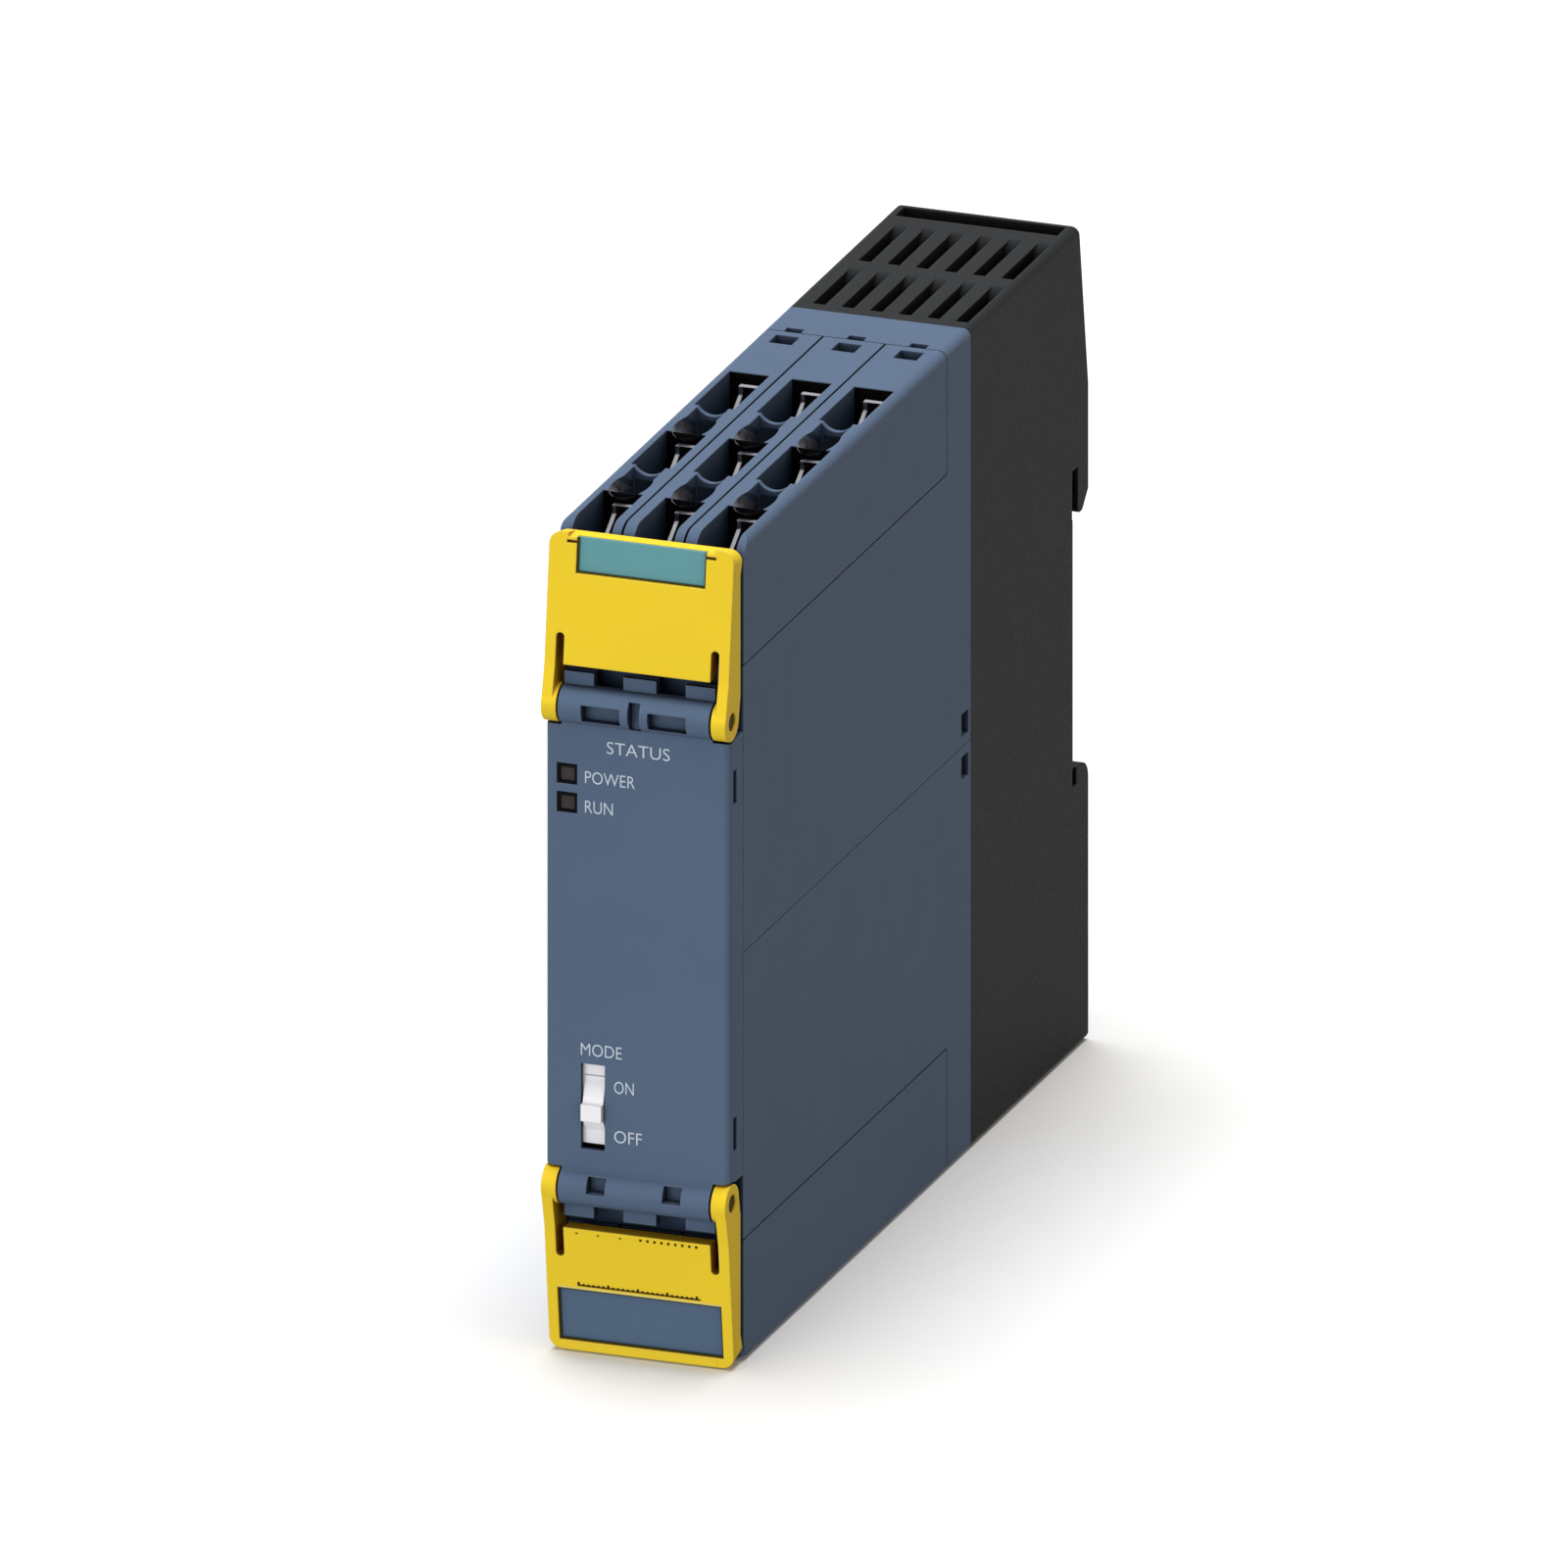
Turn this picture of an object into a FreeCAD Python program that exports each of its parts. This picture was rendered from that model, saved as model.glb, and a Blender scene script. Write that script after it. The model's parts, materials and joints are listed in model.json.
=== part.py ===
import FreeCAD, Part
import math
import os

# Safety relay in a narrow housing for a 35 mm top-hat rail.
# Lengths are in millimetres. X runs across the width, Y runs from the front to the rail, Z is up.
# The origin lies under the middle of the outer box, on the face that the module stands on.
# The lower half mirrors the upper one about mid height, so most pieces are drawn once, at the top.

V = FreeCAD.Vector

# Driving dimensions of the whole module
width = 22.5
height = 100.0
depth = 121.6
half_width = width / 2
front_y = -depth / 2
back_y = depth / 2
middle_z = height / 2

# Clearances
slip = 0.2            # between pieces that slide or swing past each other
seam = 0.12           # visible joint line between fixed mouldings
snug = 0.1            # between a spigot or an insert and its seat
pin_play = 0.05       # radial, between a hinge pin and its ear

# Front housing, two halves joined at mid height, with a collar behind the terminal blocks
housing_wall = 1.4
housing_setback = 6.0
front_part_length = 82.2
collar_depth = 7.9
collar_front_wall = 2.4
block_height = 15.0
deck_wall = 1.85
front_lintel = 1.5
edge_round = 1.0
housing_front_y = front_y + housing_setback
housing_inner_x = half_width - housing_wall
collar_back_y = front_y + front_part_length
collar_front_y = collar_back_y - collar_depth
deck_top_z = height - block_height - slip / 2
deck_low_z = deck_top_z - deck_wall
block_low_z = deck_top_z + slip

# Rear housing: its walls, and the spigot that plugs into the collar
rear_side_wall = 1.0
rear_top_wall = 2.1
rear_back_wall = 2.2
spigot_length = 4.0
spigot_wall = 1.2
bridge_length = 2.0
slope_height = 20.0
slope_run = 3.05
rear_inner_x = half_width - rear_side_wall
spigot_outer_x = housing_inner_x - snug
spigot_inner_x = spigot_outer_x - spigot_wall
spigot_outer_z = height - rear_top_wall - snug
spigot_inner_z = spigot_outer_z - spigot_wall
slope_start_z = height - slope_height

# Snap noses on the spigot and the windows for them in the collar
nose_height = 0.8
nose_root = 0.4
window_setback = 3.1
window_length = 2.3
window_low = 1.2      # from mid height
window_high = 4.0
collar_window_y = collar_back_y - window_setback

# Rail seat on the back, round a rail of the standard height
rail_height = 35.0
rail_drop = 17.6      # from mid height to the rail's lower edge
rail_setback = 5.2
lug_groove_depth = 2.0
lug_groove_width = 1.25
lug_round = 2.4
hook_grip = 2.2
hook_groove_depth = 5.8
hook_groove_width = 1.75
hook_slant = 2.0
hook_round = 0.6
seat_relief = 0.2     # the grooves' floor lies this much deeper than the rail's seat
rail_low_z = middle_z - rail_drop
rail_high_z = rail_low_z + rail_height
rail_face_y = back_y - rail_setback
lug_top_z = rail_low_z + lug_groove_depth
hook_tip_z = rail_high_z - hook_grip
groove_top_z = hook_tip_z + hook_groove_depth
hook_groove_y = rail_face_y + hook_groove_width
cavity_back_y = rail_face_y - rear_back_wall

# Sprung pusher in the upper rail groove, its leaf spring and the retainer above it
pusher_thickness = 1.15
pusher_half_width = 6.3
pusher_head_half_width = 7.7
pusher_head_height = 2.0
pusher_grip = 0.8
pusher_ledge = 1.6
pusher_side_play = 0.2
spring_room = 6.2
spring_strip = 0.35
spring_inset = 0.7
retainer_height = 2.5
pusher_low_z = rail_high_z - pusher_grip
pusher_ledge_z = groove_top_z + pusher_ledge
pusher_top_z = pusher_ledge_z + slip + pusher_head_height
pusher_front_y = rail_face_y + (hook_groove_width - pusher_thickness) / 2
pusher_back_y = pusher_front_y + pusher_thickness
retainer_low_z = pusher_top_z + spring_room
retainer_top_z = retainer_low_z + retainer_height

# Recess in the top edge of the back
recess_margin = 1.35
recess_length = 3.0
recess_rim = 0.6
recess_half_width = half_width - recess_margin
recess_back_y = back_y - slope_run - recess_rim
recess_front_y = recess_back_y - recess_length

# Ventilation slots in the top and the bottom, as many as the walls leave room for
vent_pitch = 3.48
vent_width = 1.55
vent_length = 10.7
vent_setback = 1.9
vent_row_pitch = 15.3
vent_margin = 1.7
vent_offset = 0.75    # to the right, away from the board along the left wall
vent_front_y = collar_back_y + vent_setback
vent_columns = 1 + int((width - 2 * vent_margin - vent_width) / vent_pitch)
vent_rows = 1 + int((recess_front_y - vent_front_y - vent_length - rear_top_wall) / vent_row_pitch)

# Terminal blocks
blocks_per_row = 3
block_gap = 0.3
block_inset = 0.1
block_front_round = 3.0
block_width = (width - (blocks_per_row - 1) * block_gap) / blocks_per_row
block_pitch = block_width + block_gap
block_front_y = housing_front_y + block_inset
block_back_y = collar_front_y - slip

# Wire wells in a block, counted from the rear one, as many as its length has room for
well_pitch = 21.15
well_length = 12.0
well_width = 4.86
well_offset = 0.15
well_setback = 14.7   # from the collar to the rear well's back wall
well_depth = 10.5
well_floor_z = height - well_depth
first_well_back_y = collar_front_y - well_setback
wells_per_block = 1 + int((first_well_back_y - well_length / 2 - block_front_y) / well_pitch)

# Screwdriver trough in front of a well: its neck, the lip before the well and the window under the lip
trough_radius = 2.2
trough_tilt = 28.5
trough_lead = 18.6    # from a well's back wall to where the trough's axis meets the top face
trough_overrun = 6.0
neck_width = 3.7
neck_length = 3.4
neck_depth = 2.4
lip_thickness = 0.7
lip_dip = 0.95
lip_window_width = 3.2
lip_window_drop = 1.5
lip_window_height = 3.7

# Clamp cages, folded from sheet
cage_sheet = 0.5
cage_length = 6.8
cage_back_gap = 0.6
cage_side_height = 5.0
tab_width = 3.0
tab_sheet = 0.8
tab_setback = 1.15
tab_top_drop = 1.0
guide_slope = 0.6
guide_length = 3.6
guide_height = 0.6

# Clamp screws
screw_radius = 1.45
screw_length = 4.5
screw_sides = 12      # a prism close to a round one, to keep its eighteen copies light
screw_gap = 1.45      # from the wire guide's end to the screw's front
screw_setback = tab_setback + tab_sheet / 2 + guide_length + screw_gap

# Release hole in a block and the latch notch in the collar behind it
release_width = 2.85
release_length = 2.75
release_setback = 4.2
release_depth = 5.0
latch_width = 2.1
latch_length = 1.2
latch_depth = 3.0
release_front_y = collar_front_y - release_setback

# Contact blades under the blocks and the strips that hold them
blade_thickness = 0.8
blade_length = 2.0
blade_play = 0.3
blade_cover = 0.7     # wall left between a blade's slot and the well above it
blade_setback = 4.0   # from a well's back wall to the middle of its blade
strip_height = 2.4
strip_overhang = 3.0
blade_top_z = well_floor_z - blade_cover - blade_play
strip_low_z = deck_low_z - strip_height

# Front plate
plate_setback = 1.4
plate_wall = 2.0
plate_side_wall = 1.2
plate_low_z = 23.0
plate_front_y = front_y + plate_setback
plate_back_y = housing_front_y - seam
plate_high_z = height - plate_low_z
plate_inner_x = half_width - plate_side_wall
plate_inner_y = plate_front_y + plate_wall

# Hinge barrels at both ends of the front plate
barrel_radius = 2.3
barrel_gap = 0.05
web_depth = 3.0
pin_radius = 1.05
ear_thickness = 1.8
ear_gap = 0.25
ear_room = 0.3
barrel_y = front_y + barrel_radius
barrel_z = plate_high_z + barrel_radius + barrel_gap
barrel_half_length = half_width - ear_thickness - ear_gap

# Pockets in the barrels, measured from the barrel's axis
pocket_depth = 1.65
long_pocket_x = (1.7, 6.4)
long_pocket_z = (-1.45, 0.65)
key_pocket_x = (-0.72, 0.72)
key_pocket_z = (-2.05, 1.55)
square_pocket_x = (3.5, 5.75)
square_pocket_z = (-0.15, 1.75)

# Tongues that stand up behind each barrel, one for each block
tongue_width = 4.0
tongue_thickness = 1.2
tongue_drop = 1.7
tongue_top_z = deck_top_z - tongue_drop

# Snaps of the front housing and the slots for them in the front plate
snap_setback = 1.3
snap_length = 1.1
snap_drop = 3.8
snap_width = 4.1
snap_thickness = 0.45
snap_reach = 0.25
snap_root = 2.0
snap_y = plate_front_y + snap_setback
snap_high_z = plate_high_z - snap_drop
snap_low_z = snap_high_z - snap_width

# Hinged covers
arm_thickness = 1.3
cover_proud = 0.1
cover_lean = 0.118
cover_wall = 2.0
cover_roof = 1.3
cover_top_drop = 0.7
cover_post_drop = 0.2
cover_panel_drop = 0.6
cover_slot_width = 1.0
cover_slot_length = 3.7
cover_corner_round = 1.5
arm_gap = 0.9
rim_gap = 0.4
rim_height = 2.3
flare_gap = 0.25
flare_drop = 0.6
flare_length = 1.2
flare_blend = 1.8
arm_x = half_width - arm_thickness
cover_front_y = plate_front_y - cover_proud
cover_lean_z = height - block_height
cover_top_z = height - cover_top_drop
cover_post_z = height - cover_post_drop
cover_panel_z = deck_top_z - cover_panel_drop
cover_slot_z = cover_panel_z + cover_slot_length
cover_back_y = housing_front_y - arm_gap
cover_rim_y = housing_front_y - rim_gap
cover_flare_y = housing_front_y - flare_gap

# Label plates in the covers, as half width, lowest and highest point on the upper cover
label_recess = 0.8
label_thickness = 0.35
label_gap = 0.06
upper_label_margin = 3.35
upper_label_height = 4.2
label_slit_length = 1.2
label_slit_height = 0.35
label_slit_drop = 0.35
lower_label_margin = 1.25
lower_label_height = 6.6
lower_label_drop = 0.7
lower_label_top_z = cover_top_z - lower_label_drop
upper_label = (half_width - upper_label_margin, cover_top_z - upper_label_height, cover_top_z)
lower_label = (half_width - lower_label_margin, lower_label_top_z - lower_label_height,
               lower_label_top_z)

# Indicator windows in the front plate
window_count = 2
window_size = 2.5
window_inset = 2.7
window_drop = 6.0
window_pitch = 3.5
window_frame = 0.35
window_recess = 0.4
pipe_play = 0.02
pipe_recess = 0.3
window_x = -half_width + window_inset
top_window_z = plate_high_z - window_drop

# Front board, on posts of the front plate
board_thickness = 1.6
front_board_gap = 0.3
front_board_margin = 0.6
front_board_play = 0.4
post_size = 1.9
post_margin = 1.3
post_inset = 3.6
lamp_width = 1.2
lamp_height = 0.8
front_board_y = housing_front_y + front_board_gap
front_board_half = plate_inner_x - snug - snap_thickness - front_board_margin

# Slide switch: slot, slider and the body it works in
switch_inset = 5.85
slot_width = 2.9
slot_rise = 2.5
slot_length = 10.4
slot_rim = 0.6
slider_overlap_low = -0.5
slider_overlap_high = 0.7
slider_thickness = 0.7
slider_margin = 0.35
knob_rise = 3.6
knob_height = 2.0
knob_proud = 0.7
foot_half = 0.8
foot_length = 1.2
foot_half_height = 1.0
switch_travel = 2.0
switch_body_half = 2.0
switch_body_margin = 0.9
switch_x = -half_width + switch_inset
slot_low_z = plate_low_z + slot_rise
slot_high_z = slot_low_z + slot_length
slider_low_z = slot_low_z - slider_overlap_low
slider_high_z = slot_high_z + slider_overlap_high
slider_front_y = plate_front_y + slot_rim + slip
slider_back_y = slider_front_y + slider_thickness
knob_low_z = slot_low_z + knob_rise
knob_high_z = knob_low_z + knob_height
knob_middle_z = (knob_low_z + knob_high_z) / 2

# Main board along the left wall
board_play = 0.15
board_front_gap = 0.5
board_back_gap = 1.5
board_step = 1.0
board_end_margin = 4.5
rib_width = 1.2
rib_inset = 3.0
rib_margin = 12.0
rib_root = 0.3
main_board_x = -spigot_inner_x + board_play
board_face_x = main_board_x + board_thickness
main_board_front_y = front_board_y + board_thickness + board_front_gap
main_board_back_y = cavity_back_y - board_back_gap
main_board_high_z = strip_low_z - snug

# Relays in the rear housing, one above the other
relay_count = 3
relay_rise = 13.6
relay_width = 13.0
relay_length = 26.0
relay_gap = 1.0
relay_round = 0.8
relay_setback = 1.6
relay_front_y = collar_back_y + bridge_length + relay_setback

# Transformer: core with two windows, winding round its middle leg
core_rise = 14.0
core_length = 18.0
core_height = 16.0
core_window = 4.0
core_leg = 5.0
core_yoke = 2.5
coil_inset = 1.5
coil_play = 0.1
transformer_setback = 15.5
transformer_lift = 8.0
transformer_y = collar_front_y - transformer_setback
transformer_z = middle_z + transformer_lift

# Capacitors, logic chips and connector
large_radius = 6.3
large_rise = 14.0
large_drop = 12.0
small_radius = 4.0
small_rise = 11.0
small_setback = 28.5
small_drop = 20.0
chip_rise = 1.6
chip_across = 9.0
chip_lift = 12.0
chip_rows = ((18.5, 9.0), (31.5, 6.0))   # distance from the front board and length of each pair
connector_rise = 6.0
connector_half = 8.0


def box(x0, x1, y0, y1, z0, z1):
    return Part.makeBox(x1 - x0, y1 - y0, z1 - z0, V(x0, y0, z0))


def side_prism(points, x0, x1):
    """Closed outline of (y, z) points, extruded across the width from x0 to x1."""
    corners = [V(x0, y, z) for y, z in points]
    face = Part.Face(Part.makePolygon(corners + corners[:1]))
    return face.extrude(V(x1 - x0, 0, 0))


def top_prism(points, z0, z1):
    """Closed outline of (x, y) points, extruded upwards from z0 to z1."""
    corners = [V(x, y, z0) for x, y in points]
    face = Part.Face(Part.makePolygon(corners + corners[:1]))
    return face.extrude(V(0, 0, z1 - z0))


def cross_rod(radius, x0, x1, y, z):
    return Part.makeCylinder(radius, x1 - x0, V(x0, y, z), V(1, 0, 0))


def edges_at(shape, axis, places):
    """Straight edges along an axis (0, 1, 2) that pass through the places, pairs of the other two."""
    found = []
    others = [k for k in range(3) if k != axis]
    for edge in shape.Edges:
        if len(edge.Vertexes) != 2:
            continue
        span = edge.Vertexes[1].Point - edge.Vertexes[0].Point
        if span.Length < 1e-6 or abs(abs(span[axis]) - span.Length) > 1e-6:
            continue
        middle = edge.CenterOfMass
        for a, b in places:
            if abs(middle[others[0]] - a) < 1e-3 and abs(middle[others[1]] - b) < 1e-3:
                found.append(edge)
    return found


def rounded(shape, radius, axis, places):
    return shape.makeFillet(radius, edges_at(shape, axis, places))


def flipped(shape):
    """The same piece on the lower half of the module, mirrored about mid height."""
    return shape.mirror(V(0, 0, middle_z), V(0, 0, 1))


def other_side(shape):
    """The same piece on the other side, mirrored about the module's middle plane."""
    return shape.mirror(V(0, 0, 0), V(1, 0, 0))


def both_sides(shape):
    return [shape, other_side(shape)]


def both_ends(shapes):
    return shapes + [flipped(shape) for shape in shapes]


def group(solids):
    return Part.Compound(solids)


def save(name, shape):
    shape.exportStep("parts/" + name + ".step")


def block_centre(index):
    return (index - (blocks_per_row - 1) / 2) * block_pitch


def well_back(row):
    return first_well_back_y - row * well_pitch


def cover_front_at(z):
    """Y of the leaning front face of the upper cover at a height."""
    return cover_front_y + cover_lean * (z - cover_lean_z)


# Rear housing: a moulded shell with vents, snap noses and the rail hooks
def rear_outline():
    tip_y = back_y - hook_slant
    lug_groove_y = rail_face_y + lug_groove_width
    floor_y = rail_face_y - seat_relief
    seat_low_z = lug_top_z + seat_relief
    seat_high_z = hook_tip_z - seat_relief
    return [(collar_back_y, 0), (back_y, 0), (back_y, lug_top_z), (lug_groove_y, lug_top_z),
            (lug_groove_y, rail_low_z), (floor_y, rail_low_z), (floor_y, seat_low_z),
            (rail_face_y, seat_low_z), (rail_face_y, seat_high_z), (floor_y, seat_high_z),
            (floor_y, groove_top_z), (hook_groove_y, groove_top_z), (hook_groove_y, hook_tip_z),
            (tip_y, hook_tip_z), (back_y, hook_tip_z + hook_slant), (back_y, slope_start_z),
            (back_y - slope_run, height), (collar_back_y, height)]


def rear_cavity():
    """Room inside the shell: it bulges into the lug and leans forward below the recess."""
    mouth_y = collar_back_y - spigot_length - 1
    bulge_y = back_y - rear_back_wall
    bulge_top_z = rail_low_z - 2 * rear_back_wall
    top_z = height - rear_top_wall
    outline = [(mouth_y, rear_top_wall), (bulge_y, rear_top_wall), (bulge_y, bulge_top_z),
               (cavity_back_y, bulge_top_z + rear_back_wall), (cavity_back_y, slope_start_z),
               (recess_front_y - rear_back_wall, top_z), (mouth_y, top_z)]
    return side_prism(outline, -rear_inner_x, rear_inner_x)


def vent_cutter(x, y):
    """One slot through the top wall, with the rear end rolled over in a quarter round."""
    roll = rear_top_wall
    end_y = y + vent_length
    low_z = height - roll
    line = Part.makePolygon([V(x, end_y + roll, height), V(x, end_y + roll, height + 1),
                             V(x, y, height + 1), V(x, y, low_z), V(x, end_y, low_z)])
    lean = roll * math.sqrt(0.5)
    arc = Part.Arc(V(x, end_y, low_z), V(x, end_y + roll - lean, low_z + lean),
                   V(x, end_y + roll, height))
    face = Part.Face(Part.Wire(line.Edges + [arc.toShape()]))
    return face.extrude(V(vent_width, 0, 0))


def all_vents():
    first_x = vent_offset - ((vent_columns - 1) * vent_pitch + vent_width) / 2
    slots = []
    for row in range(vent_rows):
        for column in range(vent_columns):
            x = first_x + column * vent_pitch
            slots.append(vent_cutter(x, vent_front_y + row * vent_row_pitch))
    return both_ends(slots)


def spigot_nose():
    """Snap nose on the spigot's right side, seen through the collar's window."""
    root_x = spigot_outer_x - nose_root
    front = collar_window_y + snug
    back = collar_window_y + window_length - 2 * snug
    return top_prism([(root_x, front), (spigot_outer_x, front), (spigot_outer_x + nose_height, back),
                      (root_x, back)], middle_z + window_low + snug, middle_z + window_high - snug)


def frame_ring(outer_x, outer_z, y0, y1):
    """Rectangular ring of the spigot's inner size and a given outer one."""
    ring = box(-outer_x, outer_x, y0, y1, height - outer_z, outer_z)
    return ring.cut(box(-spigot_inner_x, spigot_inner_x, y0, y1, height - spigot_inner_z,
                        spigot_inner_z))


def rear_spigot():
    """Frame that plugs into the collar, and the ring that joins it to the rear housing's wall."""
    plug = frame_ring(spigot_outer_x, spigot_outer_z, collar_back_y - spigot_length, collar_back_y)
    bridge = frame_ring(rear_inner_x, height - rear_top_wall, collar_back_y,
                        collar_back_y + bridge_length)
    return [plug, bridge]


def pusher_rooms():
    """Recess at the top and the stepped groove behind it for retainer, spring and pusher."""
    head_x = pusher_head_half_width + pusher_side_play
    stem_x = pusher_half_width + pusher_side_play
    return [box(-recess_half_width, recess_half_width, recess_front_y, recess_back_y,
                retainer_top_z, height + 1),
            box(-head_x, head_x, rail_face_y, hook_groove_y, pusher_ledge_z, retainer_top_z),
            box(-stem_x, stem_x, rail_face_y, hook_groove_y, groove_top_z - 1, pusher_ledge_z)]


def board_ribs(y0, y1, z0, z1, wall_x):
    """Two upright ribs on the left wall that the main board lies against."""
    return [box(wall_x - rib_root, main_board_x, y, y + rib_width, z0, z1)
            for y in (y0 + rib_inset, y1 - rib_inset - rib_width)]


def rear_housing():
    shell = side_prism(rear_outline(), -half_width, half_width)
    long_edges = [(x, z) for x in (-half_width, half_width) for z in (0, height)]
    shell = rounded(shell, edge_round, 1, long_edges)
    shell = rounded(shell, lug_round, 0, [(back_y, lug_top_z)])
    shell = rounded(shell, hook_round, 0, [(hook_groove_y, hook_tip_z), (back_y - hook_slant, hook_tip_z)])
    shell = shell.cut(rear_cavity())
    shell = shell.fuse(rear_spigot())
    shell = shell.cut(all_vents() + pusher_rooms())
    ribs = board_ribs(collar_back_y + bridge_length, cavity_back_y, rib_margin, height - rib_margin,
                      -rear_inner_x)
    return shell.fuse(both_ends(both_sides(spigot_nose())) + ribs).removeSplitter()


# Front housing halves: side walls, terminal deck and the collar behind the blocks
def plate_snap():
    """Tongue at the right front edge whose nose catches in the front plate's side slot."""
    outer = plate_inner_x - snug
    inner = outer - snap_thickness
    root_y = housing_front_y + snap_root
    nose_y = snap_y + snap_length - snug
    z0 = snap_low_z + snug
    z1 = snap_high_z - snug
    arm = top_prism([(outer, root_y), (outer, nose_y), (plate_inner_x + snap_reach, nose_y),
                     (outer, snap_y + snug), (inner, snap_y + snug), (inner, root_y)], z0, z1)
    root = box(inner, half_width - housing_wall / 2, housing_front_y, root_y, z0, z1)
    return arm.fuse(root)


def housing_cavity(low_z):
    """Room inside the upper half: it passes under the deck and up into the collar."""
    lintel_z = plate_high_z - plate_side_wall
    inner_top_z = height - rear_top_wall
    lintel_y = housing_front_y + front_lintel
    collar_y = collar_front_y + collar_front_wall
    outline = [(housing_front_y - 1, low_z - 1), (housing_front_y - 1, lintel_z), (lintel_y, lintel_z),
               (lintel_y, deck_low_z), (collar_y, deck_low_z), (collar_y, inner_top_z),
               (collar_back_y + 1, inner_top_z), (collar_back_y + 1, low_z - 1)]
    return side_prism(outline, -housing_inner_x, housing_inner_x)


def latch_notch(centre):
    return box(centre - latch_width / 2, centre + latch_width / 2, collar_front_y - 1,
               collar_front_y + latch_length, height - latch_depth, height + 1)


def upper_front_housing():
    low_z = middle_z + seam / 2
    shell = side_prism([(housing_front_y, low_z), (housing_front_y, deck_top_z),
                        (collar_front_y, deck_top_z), (collar_front_y, height),
                        (collar_back_y, height), (collar_back_y, low_z)], -half_width, half_width)
    shell = rounded(shell, edge_round, 1, [(x, height) for x in (-half_width, half_width)])
    window = box(housing_inner_x - 1, half_width + 1, collar_window_y, collar_window_y + window_length,
                 middle_z + window_low, middle_z + window_high)
    cuts = [housing_cavity(low_z)] + both_sides(window)
    for index in range(blocks_per_row):
        centre = block_centre(index)
        cuts.append(latch_notch(centre))
        for row in range(wells_per_block):
            cuts.append(blade_room(centre, row, deck_low_z - 1, deck_top_z + 1))
    ribs = board_ribs(housing_front_y + snap_root, collar_front_y, middle_z + rib_inset,
                      deck_low_z - rib_inset, -housing_inner_x)
    return shell.cut(cuts).fuse(ribs + both_sides(plate_snap())).removeSplitter()


# Terminal blocks: three wire wells each, a screwdriver trough before the two rear ones
def blade_room(centre, row, z0, z1):
    y = well_back(row) - blade_setback
    x_half = blade_thickness / 2 + blade_play
    y_half = blade_length / 2 + blade_play
    return box(centre - x_half, centre + x_half, y - y_half, y + y_half, z0, z1)


def screw_direction():
    tilt = math.radians(trough_tilt)
    return V(0, math.cos(tilt), -math.sin(tilt))


def trough(centre, row):
    """Inclined round channel for a screwdriver, which passes on to the screw under a dipped lip."""
    along = screw_direction()
    back = well_back(row)
    front = back - well_length
    lip_y = front - lip_thickness
    mouth = V(centre, back - trough_lead, height)
    ahead = (well_pitch - trough_lead + trough_overrun) / along.y
    behind = (trough_lead - well_length) / along.y
    channel = Part.makeCylinder(trough_radius, ahead + behind, mouth - along * ahead, along)
    channel = channel.common(box(centre - well_width, centre + well_width, lip_y - 2 * well_pitch, lip_y,
                                 well_floor_z, height + well_depth))
    window_top = height - lip_window_drop
    window = box(centre - lip_window_width / 2, centre + lip_window_width / 2, lip_y - 1, front + 1,
                 window_top - lip_window_height, window_top)
    neck = box(centre - neck_width / 2, centre + neck_width / 2, lip_y - neck_length, lip_y,
               height - neck_depth, height + 1)
    dip_z = height - lip_dip + trough_radius
    dip = Part.makeCylinder(trough_radius, lip_thickness + 2, V(centre, lip_y - 1, dip_z), V(0, 1, 0))
    return channel.fuse([window, neck, dip])


def long_edge_waste(outer_x):
    """What comes off a block's outer top edge to round it, over its whole length."""
    side = math.copysign(edge_round, outer_x)
    low_z = height - edge_round
    waste = Part.makeBox(edge_round, block_back_y - block_front_y, edge_round,
                         V(min(outer_x, outer_x - side), block_front_y, low_z))
    rod = Part.makeCylinder(edge_round, block_back_y - block_front_y,
                            V(outer_x - side, block_front_y, low_z), V(0, 1, 0))
    return waste.cut(rod)


def terminal_block(index):
    centre = block_centre(index)
    body = box(centre - block_width / 2, centre + block_width / 2, block_front_y, block_back_y,
               block_low_z, height)
    body = rounded(body, block_front_round, 0, [(block_front_y, height)])
    if index in (0, blocks_per_row - 1):
        outer_x = math.copysign(half_width, centre)
        body = body.cut(long_edge_waste(outer_x))
    middle = centre + well_offset
    cuts = [box(centre - release_width / 2, centre + release_width / 2, release_front_y,
                release_front_y + release_length, height - release_depth, height + 1)]
    for row in range(wells_per_block):
        back = well_back(row)
        front = back - well_length
        if row == wells_per_block - 1:
            front = block_front_y - 1
        cuts.append(box(middle - well_width / 2, middle + well_width / 2, front, back,
                        well_floor_z, height + 1))
        cuts.append(blade_room(centre, row, block_low_z - 1, blade_top_z + blade_play))
        if row < wells_per_block - 1:
            cuts.append(trough(middle, row))
    return body.cut(cuts).removeSplitter()


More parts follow.
